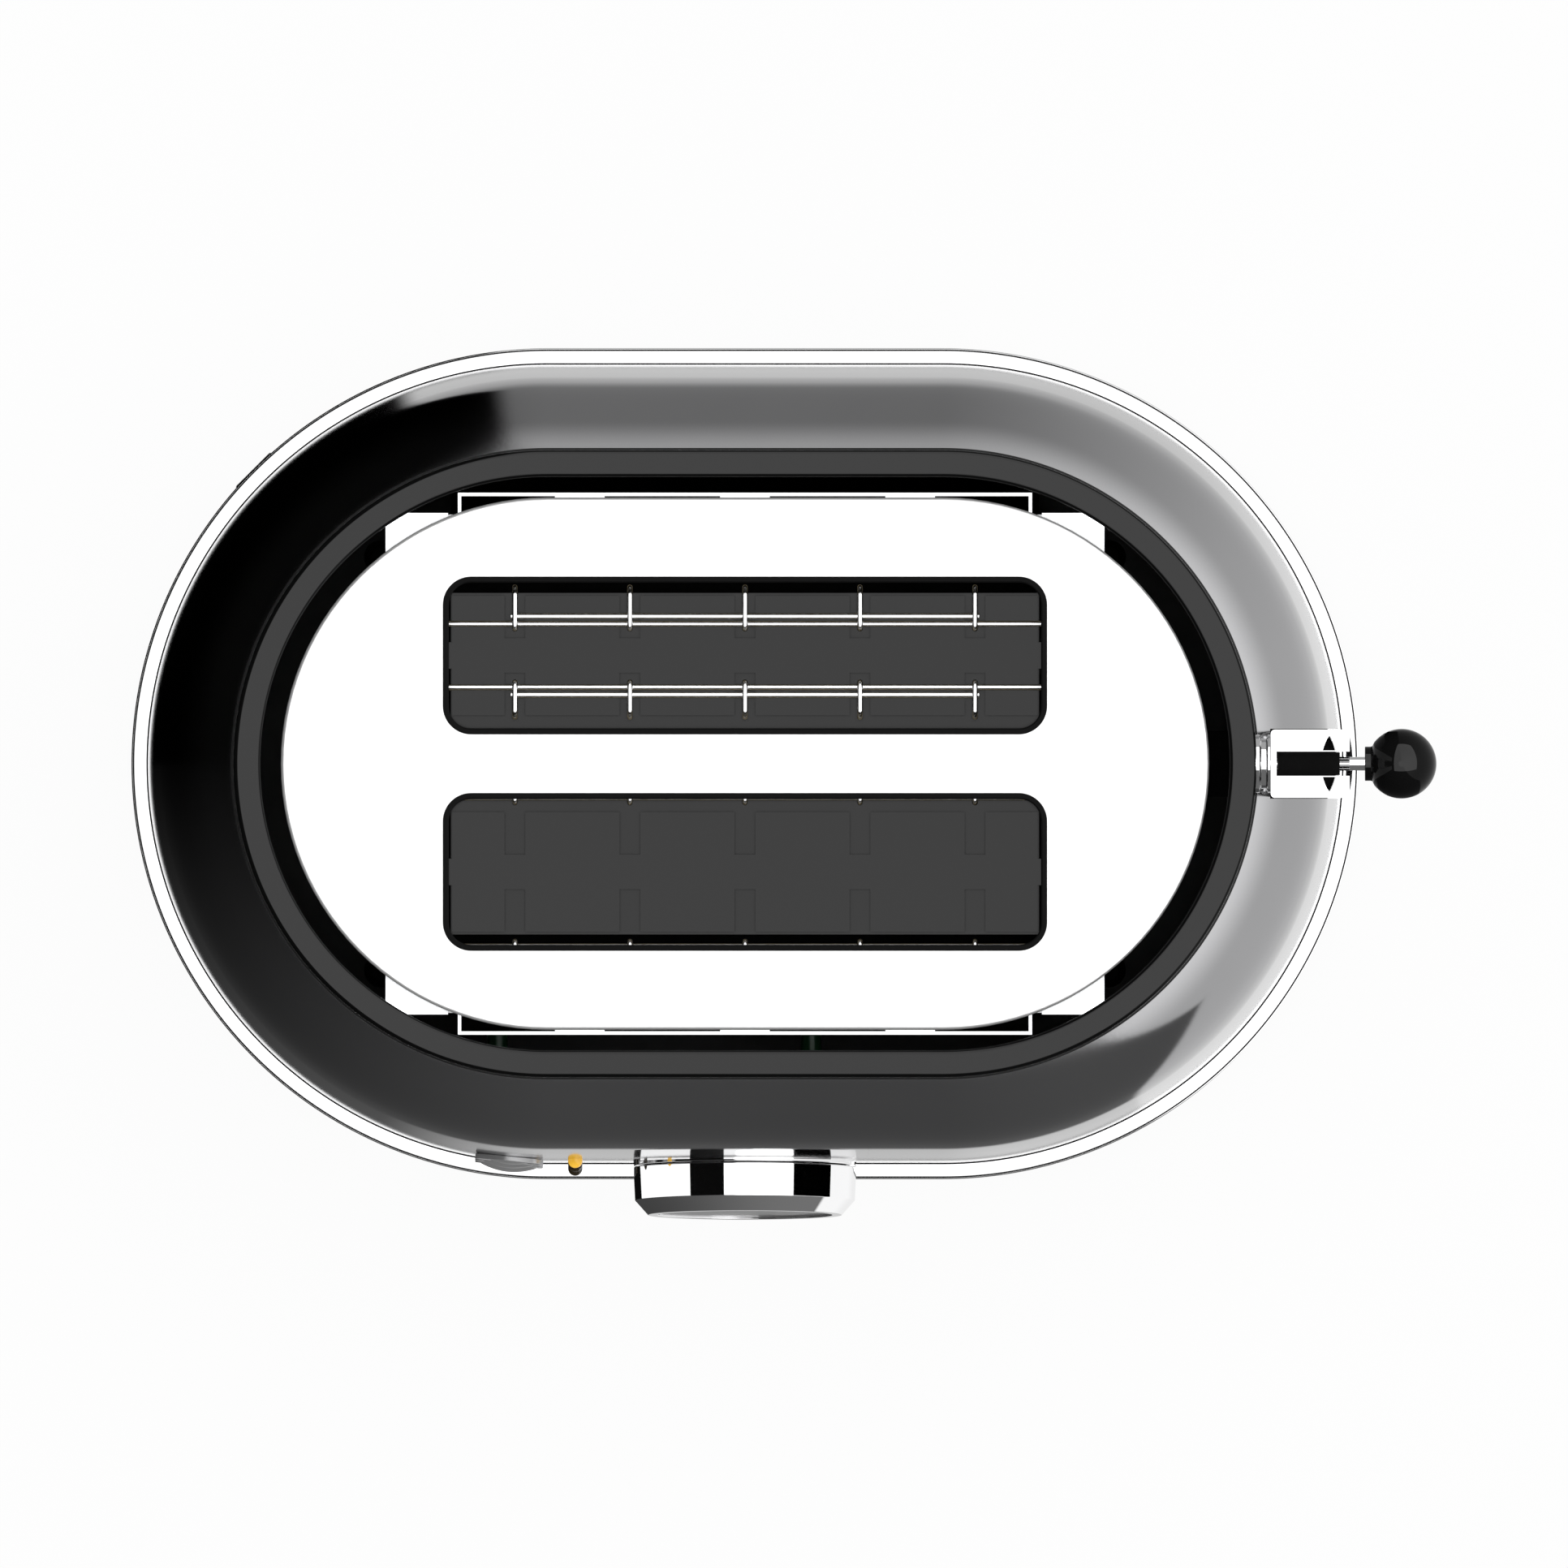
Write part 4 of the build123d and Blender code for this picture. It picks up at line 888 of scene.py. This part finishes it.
# %% Dial
WALL_LEAN = 1.15
BELLY_OUT = 0.9
CONTROL_HEIGHT = 85.0
DIAL_LEAN = math.radians(2.8)
DIAL_AXIS = (0, -math.cos(DIAL_LEAN), math.sin(DIAL_LEAN))
DIAL_BACK, DIAL_FRONT = 1.5 + BELLY_OUT, 13.96
DIAL_RADIUS, DIAL_INNER, CHAMFER_RADIUS, CHAMFER_DEPTH = 27, 24.5, 23.45, 3.55
FACE_RADIUS, FACE_RECESS, FACE_BACK = 21, 1.2, 3.2
HUB_INNER, HUB_OUTER = 3, 5.5


def wall_place(x, height):
    """A point on the front wall's cone and the direction straight out of it.

    With r the cone's radius at that height, the point is at y = -r on the straight run. Past its
    end, across is the sine of the angle gone round the end, and y is -r times its cosine.
    """
    lean = math.radians(WALL_LEAN)
    centre = max(-HALF_STRAIGHT, min(HALF_STRAIGHT, x))
    radius = SHELL_FOOT - (height - LEDGE_TOP) * math.tan(lean)
    across = (x - centre) / radius
    out = -math.sqrt(1 - across**2)
    normal = (across * math.cos(lean), out * math.cos(lean), math.sin(lean))
    return (x, out * radius, height), normal


def wedge_ring():
    """The bezel: a turned ring whose two back rows slide along the axis onto the wall's plane."""
    (origin, out), axis = wall_place(0, CONTROL_HEIGHT), np.array(DIAL_AXIS)
    outline = [(0, 27.05), (0.6, 27.0), (1.05, 27.0), (1.2, 26.85), (1.2, 23.2), (0, 23.2)]
    outline = [(along + BELLY_OUT * (along > 0), radius) for along, radius in outline]
    points, _ = turned(outline, origin, DIAL_AXIS, 192)
    for row in (0, -1):
        short = (0.08 - (points[row] - origin) @ np.array(out)) / (axis @ np.array(out))
        points[row] += short[:, None] * axis
    return points, quads(len(outline), 192, True, True)


dial_origin = wall_place(0, CONTROL_HEIGHT)[0]
chamfer_start, face_front = DIAL_FRONT - CHAMFER_DEPTH, DIAL_FRONT - FACE_RECESS
face_back = DIAL_FRONT - FACE_BACK
draft = (chamfer_start - DIAL_BACK) * math.tan(DIAL_LEAN)
cap_outside = [
    (DIAL_BACK, DIAL_INNER), (DIAL_BACK, DIAL_RADIUS), (chamfer_start, DIAL_RADIUS - draft),
    (DIAL_FRONT, CHAMFER_RADIUS), (DIAL_FRONT, FACE_RADIUS), (face_front, FACE_RADIUS),
]
cap_inside = [
    (face_front, HUB_INNER), (DIAL_BACK, HUB_INNER), (DIAL_BACK, HUB_OUTER),
    (face_back, HUB_OUTER), (face_back, DIAL_INNER), (DIAL_BACK, DIAL_INNER),
]
cap_line = rounded([*cap_outside, *cap_inside], 0.2, 4)
dial_cap = turned(cap_line, dial_origin, DIAL_AXIS, 192)
piece("dial_cap", [dial_cap], "dial", "bright_chrome", "browning_dial")
piece("dial_bezel_ring", [wedge_ring()], "root", "bright_chrome", "dial_bezel")

dish_edge = [(face_front, 0), (face_front, 20.8), (DIAL_FRONT - 0.5, 20.8),
             (DIAL_FRONT - 0.7, 19.8)]
dish_face = [(DIAL_FRONT - 0.9 + 0.2 * (r / 19.8) ** 2, r) for r in np.linspace(19, 0, 12)]
dish = turned([*rounded(dish_edge, 0.1, 3), *dish_face], dial_origin, DIAL_AXIS, 128)
piece("dial_dish", [dish], "dial", "dial_metal", "dial_face")

# %% [markdown]
# Three push buttons stand one above the other on the round end, each half a millimetre further out
# than the one above it. A cap has a crowned front and a stem that reaches its switch, so the lower
# the button, the longer its stem. A ring lines each hole, and the holes are cut right through the
# shell with a boolean, so that a pressed cap goes into the wall and not behind its skin.

# %% Buttons
BUTTON_X = -HALF_STRAIGHT - 9.05
BUTTON_RADIUS, BUTTON_PROUD, BUTTON_BACK = 7.35, 3.0, -2.2
CROWN_DEPTH, STEM_RADIUS, HOLE_RADIUS = 1.7, 2.2, 7.85
SWITCH_Y = -85.1
PITCH, STAGGER = 22.0, 0.5
levels = [(CONTROL_HEIGHT + PITCH * i, -STAGGER * i) for i in (1, 0, -1)]

for (height, further), name in zip(levels, ("reheat", "defrost", "cancel")):
    front = BUTTON_PROUD + further
    crowned = [(front - CROWN_DEPTH * (r / BUTTON_RADIUS) ** 2, r)
               for r in np.linspace(6.6, 0, 10)]
    edge = rounded([(BUTTON_BACK, STEM_RADIUS), (BUTTON_BACK, BUTTON_RADIUS),
                    (front - 2.1, BUTTON_RADIUS), crowned[0]], 0.7, 6)
    place, axis = wall_place(BUTTON_X, height)
    stem = (SWITCH_Y - place[1]) / axis[1]
    button = turned([(stem, 0), (stem, STEM_RADIUS), *edge, *crowned[1:]], place, axis)
    piece(name + "_cap", [button], name, "bright_chrome", name + "_button", look="satin_chrome")

hole = [(-4, 0), (-4, HOLE_RADIUS), (4, HOLE_RADIUS), (4, 0)]
cut(shell, [turned(hole, *wall_place(BUTTON_X, height), 64) for height, _ in levels])

sleeve = rounded([(-3.0, 7.41), (1.9, 7.41), (1.9, 8.25), (0.7, 8.25), (0.7, 7.9), (-3.0, 7.9),
                  (-3.0, 7.41)], 0.12, 4)
sleeves = [turned(sleeve, *wall_place(BUTTON_X, height)) for height, _ in levels]
piece("button_rims", sleeves, "root", "bright_chrome", "button_bezels", look="satin_chrome")

# %% [markdown]
# The three lamps on the straight run are glass rods with half spheres at their ends. They stand
# for one node, but they are two pieces: the upper one glows as an indicator that is on, and its
# glow also paints the light that falls on it; the lower two take a darker copy of the glass,
# painted shade.

# %% Lamps
LAMP_X = -HALF_STRAIGHT + 6.85
LAMP_RADIUS, LAMP_PROUD, LAMP_BACK = 1.75, 3.5, -3
lamps = []
for height, further in levels:
    tip = LAMP_PROUD + further
    dome = [(tip - LAMP_RADIUS + LAMP_RADIUS * math.sin(a), LAMP_RADIUS * math.cos(a))
            for a in np.radians(np.linspace(0, 90, 12))]
    glass = [(LAMP_BACK, 0), (LAMP_BACK, LAMP_RADIUS), *dome]
    lamps.append(turned(glass, *wall_place(LAMP_X, height), 48))
# Painted light and shade: the upper lamp's glow is partly painted light, and the lower lamps'
# darker glass is painted shade.
piece("lamp_lit", lamps[:1], "root", "amber_glass", "indicator_lamps")
piece("lamps_dark", lamps[1:], "root", "amber_glass", "indicator_lamps", look="dark_amber_glass")

# %% [markdown]
# The studio. The photograph's metal shows what stood round it: a large white softbox overhead that
# reaches further right and back than left and front, black to the left and front left, dim grey in
# front, bright on the right and behind. Big cards and lamps could stand there, but each would have
# an edge and a place to be found by trial. So that pattern is a formula of the ray's direction in
# the world, for mirror rays alone. The camera sees plain white, and rough surfaces an even light.

# %% The world
EVEN_LIGHT = 0.75
CARD_RIGHT_EDGE, CARD_BACK_EDGE = -43.0, 97.0
RIGHT_LEAN, BACK_LEAN = 18, 14
FRONT_GREY, LOW_FRONT_GREY, ZENITH_LEVEL = 0.17, 0.7, 1.68


def step(value, edge, soft):
    """0 below an edge and 1 above it, with a soft change round it."""
    return value.smooth(edge - soft, edge + soft)


def studio_level(x, y, z):
    """How bright a mirror ray along (x, y, z) finds the studio.

    The heading is in degrees from the right, and 90 is the back. The card is 1 on the right and
    fades to a third behind; its two upright edges lean with the height. Towards the zenith it
    brightens by the square of the height, which is the softbox. Outside the card there is a dim
    front, which a ray that goes nearly straight down finds brighter, and black on the left.
    """
    heading = y.math("ARCTAN2", x) * (180 / math.pi)
    steep = 1 - z.smooth(-0.96, -0.7)
    tall = z.math("ABSOLUTE")
    past_right = step(heading + tall * RIGHT_LEAN, CARD_RIGHT_EDGE, 1.5)
    inside = past_right * (1 - step(heading - steep * BACK_LEAN, CARD_BACK_EDGE, 2.0))
    card = (1 - heading.smooth(10, 110) * 0.7) * (1 - steep * 0.12)
    card = card + heading.smooth(40, 100) * steep * 0.35
    softness = ((z - 0.3) / 0.65).math("MAXIMUM", 0.0).math("MINIMUM", 1.0)
    card = card + (card * 0.26 + 0.42) * softness * softness
    front = (1 - inside) * (heading < 0.0) * (heading.smooth(-190, -50) * FRONT_GREY)
    low_front = (1 - z.smooth(-0.975, -0.95)) * heading.smooth(-125, -80) * (heading < -40.0)
    level = (inside * card).math("MAXIMUM", front.math("MAXIMUM", low_front * LOW_FRONT_GREY))
    return level.math("MAXIMUM", z.smooth(0.975, 0.992) * ZENITH_LEVEL)


def studio_world():
    """Camera rays find white, mirror and glass rays the studio, and all others an even light."""
    world = bpy.data.worlds.new("studio")
    bpy.context.scene.world = world
    tree = Tree(world)
    level = studio_level(*tree.split(tree.node("TexCoord", "Generated")))
    grey = tree.node("CombineColor", Red=level, Green=level, Blue=level)
    mirror = tree.node("Background", Strength=1.0, Color=grey)
    even = tree.node("Background", Strength=EVEN_LIGHT, Color=(1, 1, 1))
    white = tree.node("Background", Strength=1.0, Color=(1, 1, 1))
    glass = tree.node("LightPath", "Is Transmission Ray")
    glossy = tree.node("LightPath", "Is Glossy Ray").math("MAXIMUM", glass)
    seen = tree.node("LightPath", "Is Camera Ray")
    tree.output("World", tree.shaders(seen, tree.shaders(glossy, even, mirror), white))
    print("world:", len(tree.nodes), "nodes")


studio_world()

# %% [markdown]
# The world is far away, so it can't darken what stands close to the dial. A small black card does:
# it stands right of the dial, just in front of the shell, black towards the dial and clear from
# its other side. Only mirror rays see it, so it shades nothing.

# %% The black card
UNSEEN_BY = ("camera", "diffuse", "shadow", "transmission")


def card(name, x, y_span, z_span):
    """An upright card across x, in millimetres: mirror rays see its front and pass its back."""
    (y0, y1), (z0, z1) = y_span, z_span
    mesh = bpy.data.meshes.new(name)
    corners = np.array([(x, y0, z0), (x, y0, z1), (x, y1, z1), (x, y1, z0)]) / MM_PER_M + CENTRE
    mesh.from_pydata(corners.tolist(), [], [(0, 1, 2, 3)])
    sheet = add(name, mesh)
    material = bpy.data.materials.new(name)
    tree = Tree(material)
    black = tree.node("Emission", Strength=0.0, Color=(0, 0, 0))
    clear = tree.node("BsdfTransparent", Color=(1, 1, 1))
    tree.output("Material", tree.shaders(tree.node("NewGeometry", "Backfacing"), black, clear))
    mesh.materials.append(material)
    for ray in UNSEEN_BY:
        setattr(sheet, "visible_" + ray, False)
    print(name, y1 - y0, "by", z1 - z0, "mm")


card("black_card", x=30.0, y_span=(-110, -96.5), z_span=(100.5, 123.5))

# %% [markdown]
# One lamp overhead lights everything and shows in no mirror. Ball, collar, rod, wires and dial
# each need a little more in their reflections than the world gives to all, and a brighter world
# would spoil the shell. Light linking gives each its own softbox, which no other piece receives.

# %% The lamps
BROAD = {"height": 0.88, "x_span": (-0.19, 1.06), "y_span": (-0.33, 1.87)}
SIDE_SIZE, SIDE_BRIGHTNESS = (0.058, 0.019), 1.15


def watts(brightness, size):
    """The power that makes an area lamp this bright in reflections: brightness * pi * area."""
    return brightness * math.pi * size[0] * size[1]


def lamp(name, spot, size, power, reflected, *names, turn=0.0):
    """A soft lamp that shines down, or turned about y; with names, for those pieces alone."""
    data = bpy.data.lights.new(name, "AREA")
    data.shape = "RECTANGLE"
    data.size, data.size_y = size
    data.energy = power
    made = add(name, data)
    made.location = spot
    made.rotation_euler = (0, turn, 0)
    made.visible_glossy = reflected
    if names:
        group = bpy.data.collections.new(name + "_receivers")
        for receiver in names:
            group.objects.link(bpy.data.objects[receiver])
        made.light_linking.receiver_collection = group
    print(name, round(power, 3), "W")


def softbox(name, brightness, *names, height, x_span, y_span):
    """A lamp over a span of x and y, with a given brightness in reflections."""
    size = (x_span[1] - x_span[0], y_span[1] - y_span[0])
    middle = (sum(x_span) / 2, sum(y_span) / 2, height)
    lamp(name, middle, size, watts(brightness, size), True, *names)


wires = [made.name for made in bpy.data.objects if made.name.startswith("wires_")]
lamp("overhead", (0.25, 0.3, 1.3), (0.9, 0.9), 6.0, False)
softbox("gloss_softbox", 4.7, "collar", "ball", **BROAD)
softbox("chrome_softbox", 1.5, "rod", "neck", **BROAD)
softbox("wire_softbox", 1.2, *wires, height=0.88, x_span=(-1.2, 1.2), y_span=(-1.4, 2.2))
lamp("dial_side_lamp", (-0.0555, -0.1008, 0.099), SIDE_SIZE, watts(SIDE_BRIGHTNESS, SIDE_SIZE),
     True, "dial_cap", "dial_bezel_ring", turn=-math.pi / 2)
softbox("dial_softbox", 1.2, "dial_cap", "dial_bezel_ring", height=0.212,
        x_span=(-0.055, 0.128), y_span=(-0.17, -0.08))

# %% [markdown]
# The floor is a plain white sheet. The photograph's ground is pure white, which light alone would
# reach only by burning out the chrome, so to the camera the sheet glows and keeps a twentieth of
# its own shading, enough for a faint shadow. Mirror rays pass it and find the world.

# %% The floor
FLOOR_SIDE = 8.0
GLOW_SHARE = 0.95


def floor():
    """To camera rays the sheet is 0.95 of a white glow and 0.05 of its own shading."""
    half = FLOOR_SIDE / 2
    mesh = bpy.data.meshes.new("floor")
    corners = [(-half, -half, 0), (half, -half, 0), (half, half, 0), (-half, half, 0)]
    mesh.from_pydata(corners, [], [(0, 1, 2, 3)])
    sheet = add("floor", mesh)
    material = bpy.data.materials.new("floor_white")
    tree = Tree(material)
    tone = tree.colours(tree.noise(3.0, 2.0), (0.79, 0.79, 0.79), (0.81, 0.81, 0.81))
    lit = tree.node("BsdfDiffuse", Color=tone)
    glow = tree.node("Emission", Strength=1.0, Color=(1, 1, 1))
    seen = tree.node("LightPath", "Is Camera Ray")
    tree.output("Material", tree.shaders(seen * GLOW_SHARE, lit, glow))
    mesh.materials.append(material)
    sheet.visible_glossy = False


floor()
print("floor:", FLOOR_SIDE, "m square")

# %% [markdown]
# Last, the view transform that shows a colour as it is written.

# %% The end
view = bpy.context.scene.view_settings
view.view_transform = "Standard"
bpy.context.view_layer.update()
